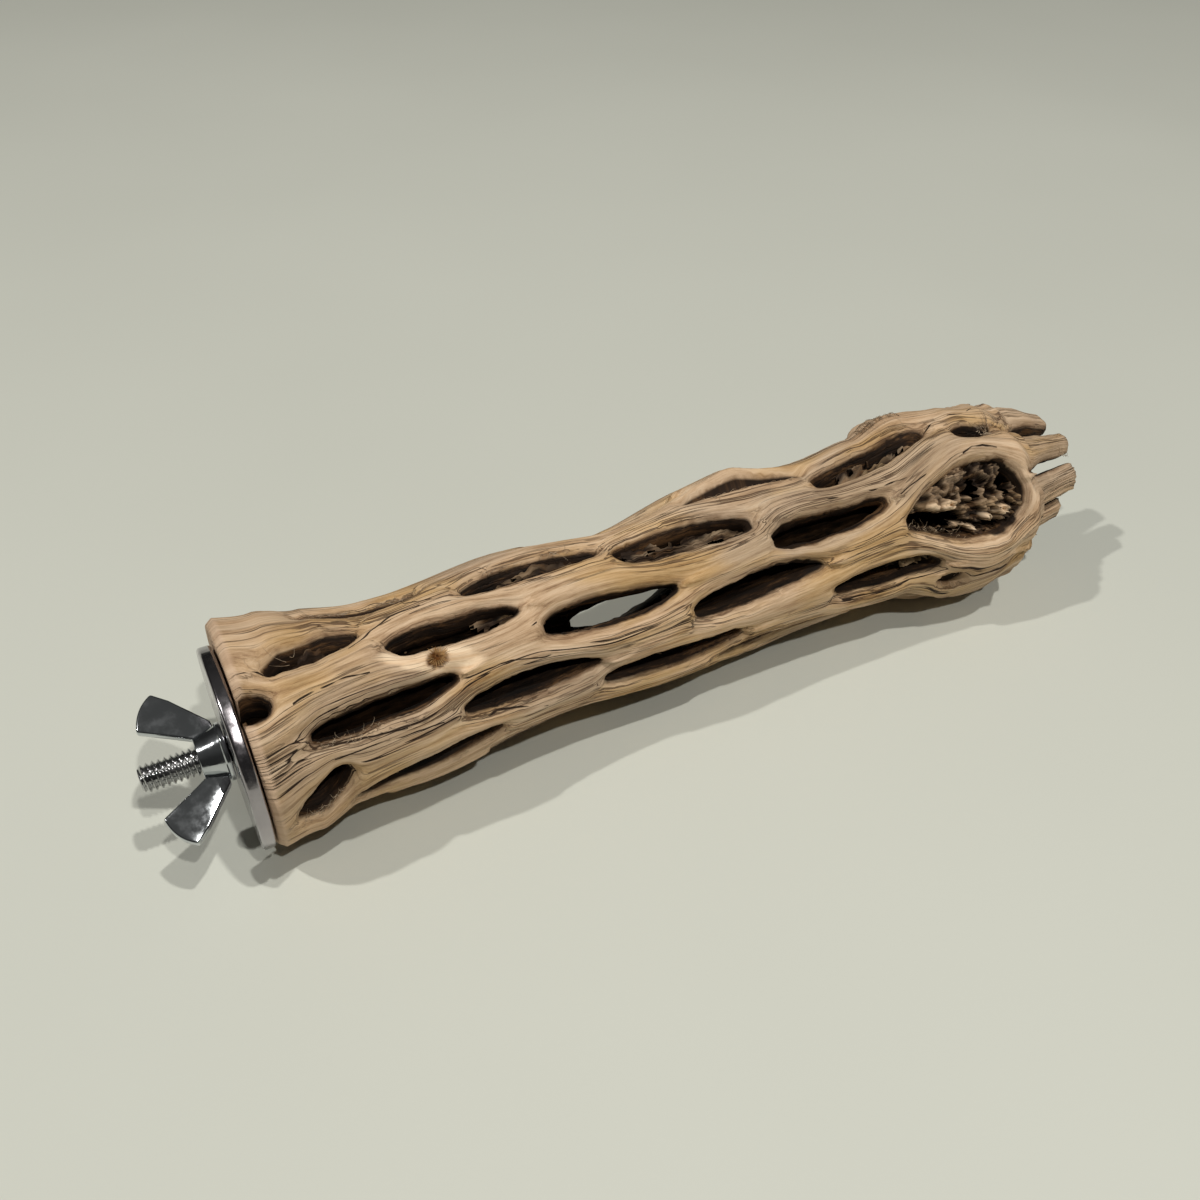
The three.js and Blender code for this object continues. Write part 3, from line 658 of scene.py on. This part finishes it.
def patch_grid(hole, reach, step):
    """Grid over a hole: places along and across its long axis, their x and angle."""
    p, q = np.meshgrid(np.arange(-reach[0], reach[0], step[0]),
                       np.arange(-reach[1], reach[1], step[1]), indexing="ij")
    return p, q, *from_spot(p, q, hole[0], hole[1], hole[4])


def between_faces(x, angle, share):
    """Points a given share of the way from the core to the outer face."""
    outer, core = outer_face(x, angle), core_face(x, angle)
    return core + (outer - core) * share[..., None]


def sheet_faces(kept):
    """Faces of a grid of points, without the cells that touch a left-out point."""
    rows, columns = kept.shape
    index = np.arange(rows * columns).reshape(rows, columns)
    corners = [index[:-1, :-1], index[1:, :-1], index[1:, 1:], index[:-1, 1:]]
    whole = kept[:-1, :-1] & kept[1:, :-1] & kept[1:, 1:] & kept[:-1, 1:]
    return np.stack([corner[whole] for corner in corners], -1)


def add_sheet(name, points, kept, grain, deep, scar, material):
    """Sheet over the kept points of a grid, with the values that the wood material reads."""
    thing = new_mesh(name, inside_trunk(points.reshape(-1, 3)), sheet_faces(kept))
    add_attributes(thing, grain=grain.reshape(-1, 3) * MM, deep=deep.ravel(), scar=scar.ravel())
    finish_wood(thing, material)


def make_linings(material):
    """Ragged sheets of dark fibres that stretch across the holes below their lips."""
    for number, (spot, level, cover, seed) in enumerate(LININGS):
        hole = hole_at(spot)
        p, q, x, angle = patch_grid(hole, (1.1 * hole[2], 2.1 * hole[3]), (0.5, 0.34))
        place = np.stack([p, q, np.full(p.shape, 9.0 * seed)], -1)
        lumps = 0.16 * noise(place / (7, 2.2, 1), 40) + 0.12 * noise(place / (2.6, 0.6, 1), 41)
        share = np.clip(level + lumps + 0.05 * noise(place / (0.9, 0.5, 1), 42), 0.03, 0.8)
        gaps = noise(place / (6, 1.8, 1), 43) + 0.5 * noise(place / (1.6, 0.8, 1), 44)
        # Share of the near-black colour of the depths: the pith's own dark fibre together with painted
        # shade of the hole
        deep = clamp01(0.86 + 0.4 * noise(place / (5, 0.8, 1), 45))
        add_sheet(f"pith_{number}", between_faces(x, angle, share), (gaps < cover) & (x > 2), place,
                  deep, np.zeros(p.shape), material)


def make_painted_shade_sheets(material):
    """Sheets of painted shade close to the core, where a hole shows nothing but black."""
    for number, spot in enumerate(PAINTED_SHADE_HOLES):
        hole = hole_at(spot)
        p, q, x, angle = patch_grid(hole, (1.3 * hole[2], 2.7 * hole[3]), (0.8, 0.6))
        place = np.stack([p, q, np.full(p.shape, 5.0 * number)], -1)
        share = 0.07 + 0.05 * noise(place / (3, 1.2, 1), 60)
        add_sheet(f"painted_shade_ground_{number}", between_faces(x, angle, share), x > 1.2, place,
                  np.ones(p.shape), np.zeros(p.shape), material)


def make_knot_pith(material, dark):
    """Crumbling lumps of pith in the big knot hole with pale chips, painted shade between the lumps, and
    gaps that show a near-black sheet of painted shade behind.
    """
    p, q, x, angle = patch_grid(hole_at(KNOT_HOLE), KNOT_PITH_REACH, (0.36, 0.36))
    place = np.stack([p, q, np.zeros(p.shape)], -1)
    warp_p, warp_q = (2.2 * noise(place / (4, 3.4, 1), seed) for seed in (53, 54))
    skew = np.stack([p + 0.8 * q + warp_p, q - 0.5 * p + warp_q, np.zeros(p.shape)], -1)
    lumps = 0.5 - np.abs(noise(skew / (4.4, 3.2, 1), 50))
    crumbs = 0.5 - 1.4 * np.abs(noise(skew / (1.9, 1.5, 1), 51))
    chips, gaps = (np.max([spot_share(x, angle, spot, ragged) for spot in spots], axis=0)
                   for spots, ragged in ((KNOT_CHIPS, 0.1), (KNOT_GAPS, 0.5)))
    rise = 0.16 * smooth_step((q - 1) / 5) + 0.12 * smooth_step((p - 6) / 5) * smooth_step(-q / 5)
    share = 0.52 + rise + 0.2 * lumps + 0.16 * crumbs + 0.06 * noise(place / (0.7, 0.5, 1), 52)
    share += 0.12 * chips
    share -= 0.3 * gaps
    # Darker between the lumps and round the gaps: painted shade in the pith's crevices
    deep = clamp01(1.05 - 0.7 * lumps - 0.7 * crumbs + 0.5 * gaps)
    reached = x < KNOT_PITH_END_X
    add_sheet("knot_pith", between_faces(x, angle, np.clip(share, 0.05, 0.85)), (gaps < 0.7) & reached,
              place, deep, chips * 0.8, material)
    # A near-black sheet of painted shade behind the pith, seen through its gaps
    behind = between_faces(x, angle, np.clip(0.1 + 0.2 * lumps, 0.03, 0.3))
    add_sheet("knot_painted_shade", behind, reached, place, np.ones(p.shape), np.zeros(p.shape), dark)


def skin(x, angle):
    """Points of the wood's outer skin; over a hole they stay at the height of its lips."""
    outer, core = outer_face(x, angle), core_face(x, angle)
    lip = (outer + core) / 2
    return lip + (outer - lip) * rounding(np.maximum(wood_depth(x, angle), 0.9), OUTER_ROUNDING)


def add_hairs(name, places, lifts, radius, material):
    """Thin tapered hairs along paths of places (x, angle) lifted off the skin."""
    count, steps = lifts.shape
    out = across(places[..., 1])
    centres = skin(places[..., 0], places[..., 1]) + out * lifts[..., None]
    ahead = unit(np.gradient(centres, axis=1))
    side = unit(np.cross(ahead, out))
    up = np.cross(side, ahead)
    taper = radius[:, None] * np.linspace(1, 0.2, steps)
    points = np.stack([centres + (side * math.cos(turn) + up * math.sin(turn)) * taper[..., None]
                       for turn in (0, 2 * math.pi / 3, 4 * math.pi / 3)], 2)
    index = np.arange(count * steps * 3).reshape(count, steps, 3)
    faces = []
    for corner in range(3):
        other = (corner + 1) % 3
        faces.append(np.stack([index[:, :-1, corner], index[:, 1:, corner],
                               index[:, 1:, other], index[:, :-1, other]], -1).reshape(-1, 4))
    hairs = new_mesh(name, inside_trunk(points.reshape(-1, 3)), np.concatenate(faces))
    finish_wood(hairs, material)


def make_frays():
    """Loose fibres at the worn lips of holes, and the torn heart of the branch scar."""
    t = np.linspace(0, 1, FRAY_STEPS)
    hairs = []
    for start, end, count, length, lean in FRAYS:
        share = seeded.random((count, 1))
        x = start[0] + (end[0] - start[0]) * share
        angle = start[1] + (end[1] - start[1]) * share + seeded.normal(0, 2, (count, 1))
        run = length * seeded.uniform(0.35, 1, (count, 1)) * seeded.choice([-1, 1], (count, 1))
        drift = lean * seeded.normal(0.35, 0.6, (count, 1))
        bend = seeded.normal(0, 1.2, (count, 1))
        places = np.stack([x + run * t, angle + drift * t**2 + bend * np.sin(3 * t)], -1)
        lift = 0.05 + seeded.uniform(0.05, 0.5, (count, 1)) * np.sin(2.6 * t)
        hairs.append((places, lift, seeded.uniform(0.04, 0.11, count)))
    grey = fibre_material("frayed_fibres", srgb(120, 98, 76), srgb(196, 176, 150))
    add_hairs("frayed_fibres", *(np.concatenate(parts) for parts in zip(*hairs)), grey)

    turn = seeded.uniform(0, 2 * math.pi, (SCAR_FIBRES, 1))
    reach = seeded.uniform(1.2, 3.0, (SCAR_FIBRES, 1)) * (0.3 + 0.7 * t)
    x = SCAR_HEART[0] + reach * np.cos(turn)
    angle = SCAR_HEART[1] + np.degrees(reach * np.sin(turn) / RADIUS_AT_SCAR)
    lift = -0.5 + 0.9 * t + seeded.uniform(-0.2, 0.5, (SCAR_FIBRES, 1)) * t
    radius = seeded.uniform(0.05, 0.14, SCAR_FIBRES)
    orange = fibre_material("torn_heart_fibres", srgb(120, 76, 36), srgb(206, 168, 116))
    add_hairs("scar_fibres", np.stack([x, angle], -1), lift, radius, orange)


class Shader:
    """Nodes of a material or of the world, made and joined in short calls."""

    def __init__(self, owner, end="Principled BSDF"):
        owner.use_nodes = True
        self.owner = owner
        self.nodes = owner.node_tree.nodes
        self.links = owner.node_tree.links
        self.end = self.nodes[end]

    def put(self, socket, value):
        if isinstance(value, bpy.types.NodeSocket):
            self.links.new(value, socket)
        elif value is not None:
            socket.default_value = value

    def node(self, kind, inputs=None, **settings):
        made = self.nodes.new(kind)
        for key, value in settings.items():
            setattr(made, key, value)
        for key, value in (inputs or {}).items():
            self.put(made.inputs[key], value)
        return made

    def place(self):
        return self.node("ShaderNodeTexCoord").outputs["Object"]

    def attribute(self, name, output="Fac"):
        return self.node("ShaderNodeAttribute", attribute_name=name).outputs[output]

    def stretched(self, vector, *scale):
        return self.node("ShaderNodeMapping", {"Vector": vector, "Scale": scale}).outputs["Vector"]

    def noise(self, vector, scale, detail=3.0, rough=0.55, output="Fac"):
        return self.node("ShaderNodeTexNoise", {
            "Vector": vector, "Scale": scale, "Detail": detail, "Roughness": rough}).outputs[output]

    def ramp(self, value, stops):
        made = self.node("ShaderNodeValToRGB", {"Fac": value})
        elements = made.color_ramp.elements
        while len(elements) < len(stops):
            elements.new(0.5)
        for element, (place, colour) in zip(elements, stops):
            element.position = place
            element.color = colour
        return made.outputs["Color"]

    def grey_ramp(self, value, low, high, low_value=0.0, high_value=1.0):
        return self.node("ShaderNodeMapRange", {
            "Value": value, "From Min": low, "From Max": high, "To Min": low_value,
            "To Max": high_value}, interpolation_type="SMOOTHSTEP").outputs["Result"]

    def mix(self, share, a, b):
        return self.node("ShaderNodeMix", {0: share, 6: a, 7: b}, data_type="RGBA").outputs[2]

    def math(self, operation, a, b=0.0):
        return self.node("ShaderNodeMath", {0: a, 1: b}, operation=operation).outputs[0]

    def vector(self, operation, a, b=None, output="Vector", scale=None):
        made = self.node("ShaderNodeVectorMath", {0: a, 1: b, 3: scale}, operation=operation)
        return made.outputs[output]

    def near_middle(self, field, far, near):
        """1 where a noise field is close to its middle, which draws thin lines."""
        distance = self.math("ABSOLUTE", self.math("SUBTRACT", field, 0.5))
        return self.grey_ramp(distance, far, near)

    def near_line(self, place, start, end, half_width):
        """1 on the straight line between two points, 0 at half its width away from it."""
        way = np.array(end) - np.array(start)
        from_start = self.vector("SUBTRACT", place, tuple(start))
        share = self.vector("DOT_PRODUCT", from_start, tuple(way / (way @ way)), "Value")
        share = self.node("ShaderNodeClamp", {"Value": share}).outputs[0]
        nearest = self.vector("SCALE", tuple(way), scale=share)
        distance = self.vector("LENGTH", self.vector("SUBTRACT", from_start, nearest), output="Value")
        return self.grey_ramp(distance, half_width, half_width * 0.35)

    def bump(self, height, strength, distance, normal=None):
        return self.node("ShaderNodeBump", {
            "Height": height, "Strength": strength, "Distance": distance,
            "Normal": normal}).outputs["Normal"]

    def finish(self, **sockets):
        for name, value in sockets.items():
            self.put(self.end.inputs[name.replace("_", " ")], value)
        return self.owner


def material_shader(name):
    return Shader(bpy.data.materials.new(name))


def srgb(red, green, blue):
    """Linear colour from the 0 to 255 values that a screen shows."""
    parts = [part / 255 for part in (red, green, blue)]
    return *(p / 12.92 if p <= 0.04045 else ((p + 0.055) / 1.055) ** 2.4 for p in parts), 1


def painted_shade_material():
    # Near-black streaky colour for the sheets of painted shade in the holes and behind the knot's pith
    shader = material_shader("painted_shade_black")
    streaks = shader.noise(shader.stretched(shader.place(), 0.2, 1, 1), 900, 3, 0.6)
    colour = shader.ramp(streaks, [(0.35, srgb(9, 6, 3)), (0.7, srgb(42, 28, 16))])
    return shader.finish(Base_Color=colour, Roughness=0.95, Specular_IOR_Level=0.05,
                         Normal=shader.bump(streaks, 0.8, 0.0005))


def fibre_material(name, dark, light):
    shader = material_shader(name)
    colour = shader.ramp(shader.noise(shader.place(), 700, 2, 0.5), [(0.35, dark), (0.65, light)])
    return shader.finish(Base_Color=colour, Roughness=0.9, Specular_IOR_Level=0.1)


def fibre_colour(shader, grain, streaks):
    """Tan, gold and grey wood in patches, each with streaks from dark to pale."""
    tan = shader.ramp(streaks, [
        (0.32, srgb(134, 104, 76)), (0.43, srgb(186, 154, 120)), (0.54, srgb(212, 182, 148)),
        (0.7, srgb(228, 202, 170))])
    gold = shader.ramp(streaks, [
        (0.32, srgb(134, 100, 64)), (0.44, srgb(186, 150, 102)), (0.57, srgb(208, 174, 128)),
        (0.72, srgb(222, 192, 150))])
    grey = shader.ramp(streaks, [
        (0.32, srgb(118, 97, 78)), (0.44, srgb(168, 144, 119)), (0.57, srgb(194, 170, 143)),
        (0.72, srgb(208, 188, 162))])
    patches = shader.noise(shader.stretched(grain, 0.35, 1, 1), 60, 3, 0.6)
    greyness = shader.noise(shader.stretched(grain, 0.3, 1, 1), 48, 4, 0.6)
    colour = shader.mix(shader.grey_ramp(patches, 0.44, 0.6), tan, gold)
    return shader.mix(shader.grey_ramp(greyness, 0.48, 0.64, 0, 0.8), colour, grey)


def crack_shares(shader, grain, short_fibres):
    """Fine dark lines along the fibres; and fewer, longer cracks with those at given places."""
    long_fibres = shader.stretched(grain, 0.03, 1, 1)
    fine_line = shader.near_middle(shader.noise(long_fibres, 760, 2, 0.5), 0.035, 0.008)
    fine_where = shader.grey_ramp(shader.noise(short_fibres, 150, 3, 0.6), 0.42, 0.6, 0.05, 0.8)
    crack_line = shader.near_middle(shader.noise(long_fibres, 260, 3, 0.5), 0.014, 0.005)
    crack_where = shader.grey_ramp(shader.noise(short_fibres, 85, 2, 0.5), 0.5, 0.58)
    crack = shader.math("MULTIPLY", crack_line, crack_where)
    place = shader.attribute("place", "Vector")
    wobble = shader.noise(place, 100, 2, 0.5, "Color")
    wobble = shader.vector("SUBTRACT", wobble, (0.5, 0.5, 0.5))
    wavy = shader.vector("ADD", place, shader.vector("SCALE", wobble, scale=0.0016))
    for half_width, places in CRACKS:
        line = on_tube(*np.array(places, float).T) * MM
        for start, end in zip(line[:-1], line[1:]):
            near = shader.near_line(wavy, start, end, 0.85 * half_width * MM)
            crack = shader.math("MAXIMUM", crack, near)
    return shader.math("MULTIPLY", fine_line, fine_where), crack


def wood_material():
    shader = material_shader("weathered_cholla_wood")
    grain = shader.attribute("grain", "Vector")
    below, sawn, scar, heart = (shader.attribute(name) for name in ("below", "sawn", "scar", "heart"))
    fibres = shader.stretched(grain, 0.06, 1, 1)
    short_fibres = shader.stretched(grain, 0.14, 1, 1)
    streaks = shader.noise(fibres, 620, 6, 0.75)
    # How far below the outer face a point lies; deep is the mask of the painted shade of the core and
    # the holes' depths
    edge = shader.math("ADD", below, shader.noise(short_fibres, 700, 3, 0.6))
    deep = shader.math("MAXIMUM", shader.attribute("deep"), shader.grey_ramp(edge, 2.5, 3.4))

    fine, crack = crack_shares(shader, grain, short_fibres)
    colour = shader.mix(fine, fibre_colour(shader, grain, streaks), srgb(84, 60, 42))
    colour = shader.mix(crack, colour, srgb(48, 33, 22))
    pale = shader.ramp(shader.noise(short_fibres, 600, 4, 0.6), [
        (0.35, srgb(226, 190, 150)), (0.6, srgb(250, 224, 190))])
    colour = shader.mix(scar, colour, pale)
    colour = shader.mix(heart, colour, srgb(112, 70, 34))

    # Painted shade in the holes: lips turn darker brown as they go down (partly the fibres' own brown),
    # the core and the depths near black with fibrous streaks; the sawn face pale
    lip_shade_colour = shader.mix(shader.grey_ramp(streaks, 0.35, 0.65), srgb(96, 70, 50), srgb(168, 138, 106))
    ragged = shader.noise(shader.stretched(grain, 0.5, 1, 1), 260, 3, 0.6)
    ragged = shader.grey_ramp(ragged, 0.4, 0.6, 0.15, 0.9)
    lip_shade = shader.math("MULTIPLY", shader.grey_ramp(edge, 1.4, 2.9), ragged)
    colour = shader.mix(lip_shade, colour, lip_shade_colour)
    depth_shade_colour = shader.ramp(shader.noise(short_fibres, 520, 5, 0.7), [
        (0.34, srgb(12, 8, 4)), (0.52, srgb(44, 29, 16)), (0.7, srgb(116, 84, 52))])
    colour = shader.mix(deep, colour, shader.mix(scar, depth_shade_colour, pale))
    sawn_colour = shader.ramp(streaks, [(0.3, srgb(184, 152, 122)), (0.7, srgb(222, 194, 164))])
    shallow = shader.math("SUBTRACT", 1.0, deep)
    colour = shader.mix(shader.math("MULTIPLY", sawn, shallow), colour, sawn_colour)

    fibre_bump = shader.bump(shader.noise(fibres, 900, 5, 0.65), 0.6, 0.0006)
    lines = shader.math("ADD", fine, shader.math("MULTIPLY", crack, 1.6))
    line_bump = shader.bump(shader.math("SUBTRACT", 0.0, lines), 0.9, 0.0006, fibre_bump)
    return shader.finish(Base_Color=colour, Roughness=shader.grey_ramp(streaks, 0.3, 0.7, 0.9, 0.7),
                         Normal=line_bump, Specular_IOR_Level=0.25)


def metal_material(name, colour, roughness, smudge, brush):
    """Polished metal with faint smudges and dents, and fine brushed lines of a given height."""
    shader = material_shader(name)
    place = shader.place()
    cloud = shader.noise(place, 260, 4, 0.6)
    fine = shader.noise(shader.stretched(place, 1, 0.12, 0.12), 3500, 3, 0.6)
    dull = (*(part * 0.72 for part in colour[:3]), 1)
    dents = shader.bump(shader.noise(place, 420, 2, 0.5), 0.12, 0.0004)
    return shader.finish(
        Base_Color=shader.mix(shader.grey_ramp(cloud, 0.4, 0.75, 0, 0.35), colour, dull), Metallic=1.0,
        Roughness=shader.grey_ramp(cloud, 0.35, 0.7, roughness, roughness + smudge),
        Normal=shader.bump(fine, brush, 0.00008, dents))


def ring_faces(rings, sides, closed):
    """Faces between rings of points, back to the first ring if closed and with two ends if not."""
    faces = []
    for ring in range(rings if closed else rings - 1):
        after = (ring + 1) % rings
        for side in range(sides):
            other = (side + 1) % sides
            faces.append((ring * sides + side, ring * sides + other, after * sides + other,
                          after * sides + side))
    if not closed:
        faces += [tuple(range(sides)), tuple(range((rings - 1) * sides, rings * sides))]
    return faces


def turned(name, profile, sides):
    """Ring about the stud's axis from a closed profile of (x, radius) points."""
    turns = np.arange(sides) * 2 * math.pi / sides
    points = [(x, radius * math.cos(t), radius * math.sin(t) + STUD_HEIGHT)
              for x, radius in profile for t in turns]
    return new_mesh(name, to_row(points), ring_faces(len(profile), sides, True))


def fix_normals(thing):
    shape = bmesh.new()
    shape.from_mesh(thing.data)
    bmesh.ops.recalc_face_normals(shape, faces=shape.faces)
    shape.to_mesh(thing.data)
    shape.free()


def arc(centre_x, centre_radius, size, start, end, steps=6):
    """Points of a rounded edge in a turned profile, angles from +x towards larger radius."""
    turns = [math.radians(start + (end - start) * k / steps) for k in range(steps + 1)]
    return [(centre_x + size * math.cos(t), centre_radius + size * math.sin(t)) for t in turns]


def smooth_by_angle(thing, degrees):
    bpy.context.view_layer.objects.active = thing
    thing.select_set(True)
    bpy.ops.object.shade_smooth_by_angle(angle=math.radians(degrees))
    thing.select_set(False)


def dress(thing, body, node, material):
    thing.data.materials.clear()
    thing.data.materials.append(material)
    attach(thing, body)
    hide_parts(node)


def make_washer():
    outer_x = washer_low.x / MM - sawn_x
    inner_x = washer_high.x / MM - sawn_x
    radius = (washer_high.z - washer_low.z) / 2 / MM
    edge, hole, hole_edge = WASHER_EDGE, WASHER_HOLE_RADIUS, WASHER_HOLE_EDGE
    profile = [(outer_x, hole + hole_edge)]
    profile += arc(outer_x + edge, radius - edge, edge, 180, 90)
    profile += arc(inner_x - edge, radius - edge, edge, 90, 0)
    profile += [(inner_x, hole + hole_edge), (inner_x - hole_edge, hole), (outer_x + hole_edge, hole)]
    washer = turned("washer_disc", profile, WASHER_SIDES)
    fix_normals(washer)
    smooth_by_angle(washer, 35)
    steel = metal_material("polished_washer_steel", srgb(168, 163, 166), 0.13, 0.16, 0.08)
    dress(washer, "clamp_washer", "washer", steel)


def make_stud():
    """Stud with a true helical thread that fades out at its tip, and a plain screw end in the plug."""
    rows = int((THREAD_END_X - STUD_TIP_X) / THREAD_PITCH * THREAD_STEPS) + 1
    turns = np.arange(STUD_SIDES) * 2 * math.pi / STUD_SIDES
    x, t = np.meshgrid(np.linspace(STUD_TIP_X, THREAD_END_X, rows), turns, indexing="ij")
    phase = ((x - STUD_TIP_X) / THREAD_PITCH + t / (2 * math.pi)) % 1.0
    groove = THREAD_DEPTH * clamp01((np.abs(phase - 0.5) * 2 - THREAD_CREST) / THREAD_FLANK)
    tip_cone = THREAD_RADIUS - THREAD_DEPTH - 0.1 + (x - STUD_TIP_X) * 0.9
    radius = np.minimum(THREAD_RADIUS - groove, tip_cone)
    points = np.stack([x, radius * np.cos(-t), radius * np.sin(-t) + STUD_HEIGHT], -1).reshape(-1, 3)
    shank = [(THREAD_END_X + 0.6, STUD_SHANK_RADIUS), (STUD_INNER_END_X - 4, STUD_SHANK_RADIUS),
             (STUD_INNER_END_X - 0.2, 0.2)]
    for px, r in shank:
        ring = [(px, r * math.cos(-t), r * math.sin(-t) + STUD_HEIGHT) for t in turns]
        points = np.concatenate([points, ring])
    stud = new_mesh("threaded_stud", to_row(points), ring_faces(rows + len(shank), STUD_SIDES, False))
    fix_normals(stud)
    smooth_by_angle(stud, 50)
    steel = metal_material("bright_thread_steel", srgb(186, 186, 186), 0.12, 0.14, 0.04)
    dress(stud, "perch", "stud", steel)


def wing_outline():
    """Wing plate outline as (x, radius) points, with the tip's arc filled in."""
    front = [(-out, radius) for out, radius in WING_OUTLINE]
    back = [(-out, radius) for out, radius in WING_OUTLINE_BACK]
    start, end = np.array(front[-1]), np.array(back[0])
    bulge = np.array((-WING_TIP_BULGE[0], WING_TIP_BULGE[1]))
    tip = []
    for step in range(1, WING_TIP_STEPS):
        t = step / WING_TIP_STEPS
        tip.append(tuple((1 - t) ** 2 * start + 2 * t * (1 - t) * bulge + t * t * end))
    return front + tip + back


def wing_plate(name, turn):
    outline = wing_outline()
    count = len(outline)
    base_x = nut_base_x()
    half = WING_THICKNESS / 2
    c, s = math.cos(math.radians(turn)), math.sin(math.radians(turn))
    points = [(x + base_x, y * c - z * s, y * s + z * c + STUD_HEIGHT)
              for z in (-half, half) for x, y in outline]
    faces = [tuple(range(count))[::-1], tuple(range(count, 2 * count))]
    faces += [(k, (k + 1) % count, count + (k + 1) % count, count + k) for k in range(count)]
    plate = new_mesh(name, to_row(points), faces)
    fix_normals(plate)
    bevel = plate.modifiers.new("edge", "BEVEL")
    bevel.width = WING_EDGE * MM
    bevel.segments = 3
    bevel.limit_method = "ANGLE"
    bevel.angle_limit = math.radians(50)
    return plate


def nut_base_x():
    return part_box("wing_nut")[1].x / MM - sawn_x


def apply_modifiers(thing):
    graph = bpy.context.evaluated_depsgraph_get()
    mesh = bpy.data.meshes.new_from_object(thing.evaluated_get(graph))
    thing.modifiers.clear()
    thing.data = mesh


def make_wing_nut():
    base = nut_base_x()
    top = base - NUT_HEIGHT
    edge, bore, bore_edge = NUT_EDGE, NUT_BORE_RADIUS, NUT_BORE_EDGE
    profile = [(top, bore + bore_edge)]
    profile += arc(top + edge, NUT_TOP_RADIUS - edge, edge, 180, 100)
    profile += [(base - NUT_BASE_HEIGHT - 0.1, NUT_BASE_RADIUS - edge)]
    profile += arc(base - NUT_BASE_HEIGHT + edge, NUT_BASE_RADIUS - edge, edge, 150, 90)
    profile += arc(base - edge, NUT_BASE_RADIUS - edge, edge, 90, 0)
    profile += [(base, bore + bore_edge), (base - bore_edge, bore), (top + bore_edge, bore)]
    nut = turned("wing_nut_body", profile, NUT_SIDES)
    fix_normals(nut)
    for turn in (WING_TILT, WING_TILT + 180):
        wing = wing_plate("wing", turn)
        apply_modifiers(wing)
        union = nut.modifiers.new("wing", "BOOLEAN")
        union.operation = "UNION"
        union.solver = "EXACT"
        union.object = wing
        bpy.context.view_layer.update()
        apply_modifiers(nut)
        bpy.data.objects.remove(wing)
    smooth_by_angle(nut, 32)
    chrome = metal_material("chrome_plate", srgb(196, 200, 203), 0.07, 0.12, 0.04)
    dress(nut, "clamp_nut", "wing_nut", chrome)


def dress_plug():
    shader = material_shader("plug_wood_grain")
    streaks = shader.noise(shader.stretched(shader.place(), 0.08, 1, 1), 700, 4, 0.6)
    colour = shader.ramp(streaks, [(0.3, srgb(96, 68, 42)), (0.7, srgb(150, 116, 78))])
    material = shader.finish(Base_Color=colour, Roughness=0.8, Normal=shader.bump(streaks, 0.4, 0.0003))
    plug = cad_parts["end_plug"]
    plug.data.materials.clear()
    plug.data.materials.append(material)


def make_floor():
    shader = material_shader("pale_floor")
    place = shader.place()
    colour = shader.ramp(shader.noise(place, 3, 3, 0.5), [
        (0.3, srgb(205, 207, 196)), (0.7, srgb(211, 213, 202))])
    normal = shader.bump(shader.noise(place, 900, 3, 0.6), 0.05, 0.0002)
    size = FLOOR_HALF_SIZE
    corners = [(-size, -size, 0), (size, -size, 0), (size, size, 0), (-size, size, 0)]
    floor = new_mesh("floor", corners, [(0, 1, 2, 3)], smooth=False)
    floor.data.materials.append(shader.finish(Base_Color=colour, Roughness=0.6, Normal=normal))


def make_lamp(name, place, power):
    data = bpy.data.lights.new(name, "AREA")
    data.shape = "DISK"
    data.size = LAMP_SIZE
    data.energy = power
    data.color = LAMP_COLOUR
    lamp = bpy.data.objects.new(name, data)
    lamp.location = place
    lamp.rotation_euler = (-Vector(place)).to_track_quat("-Z", "Y").to_euler()
    bpy.context.scene.collection.objects.link(lamp)


def make_world():
    """Dim room, a little brighter above."""
    world = bpy.data.worlds.new("dim_room")
    bpy.context.scene.world = world
    sky = Shader(world, "Background")
    direction = sky.node("ShaderNodeTexCoord").outputs["Generated"]
    height = sky.node("ShaderNodeSeparateXYZ", {"Vector": direction}).outputs["Z"]
    levels = [(0.0, 0.3), (0.5, 0.35), (0.8, 0.8), (1.0, 1.0)]
    colour = sky.ramp(height, [(at, (value, value, value * 0.96, 1)) for at, value in levels])
    sky.finish(Color=colour, Strength=ROOM_LIGHT)


def make_camera():
    data = bpy.data.cameras.new("camera")
    data.sensor_width = SENSOR
    data.lens = SENSOR * CAMERA_FOCAL / PICTURE_SIZE
    data.clip_start = 0.01
    camera = bpy.data.objects.new("camera", data)
    camera.location = to_row(CAMERA_AT)
    camera.rotation_euler = (math.radians(90 - CAMERA_DIP), 0, math.radians(-CAMERA_HEADING))
    bpy.context.scene.collection.objects.link(camera)
    bpy.context.scene.camera = camera


make_camera()
make_world()
make_floor()
for lamp_name, lamp_place, lamp_power in LAMPS:
    make_lamp(lamp_name, lamp_place, lamp_power)
bpy.context.scene.view_settings.view_transform = "Standard"
wood = wood_material()
make_trunk(wood)
make_linings(wood)
# Near-black material for the sheets of painted shade
shade_sheets = painted_shade_material()
make_painted_shade_sheets(shade_sheets)
make_knot_pith(wood, shade_sheets)
make_frays()
make_washer()
make_stud()
make_wing_nut()
dress_plug()
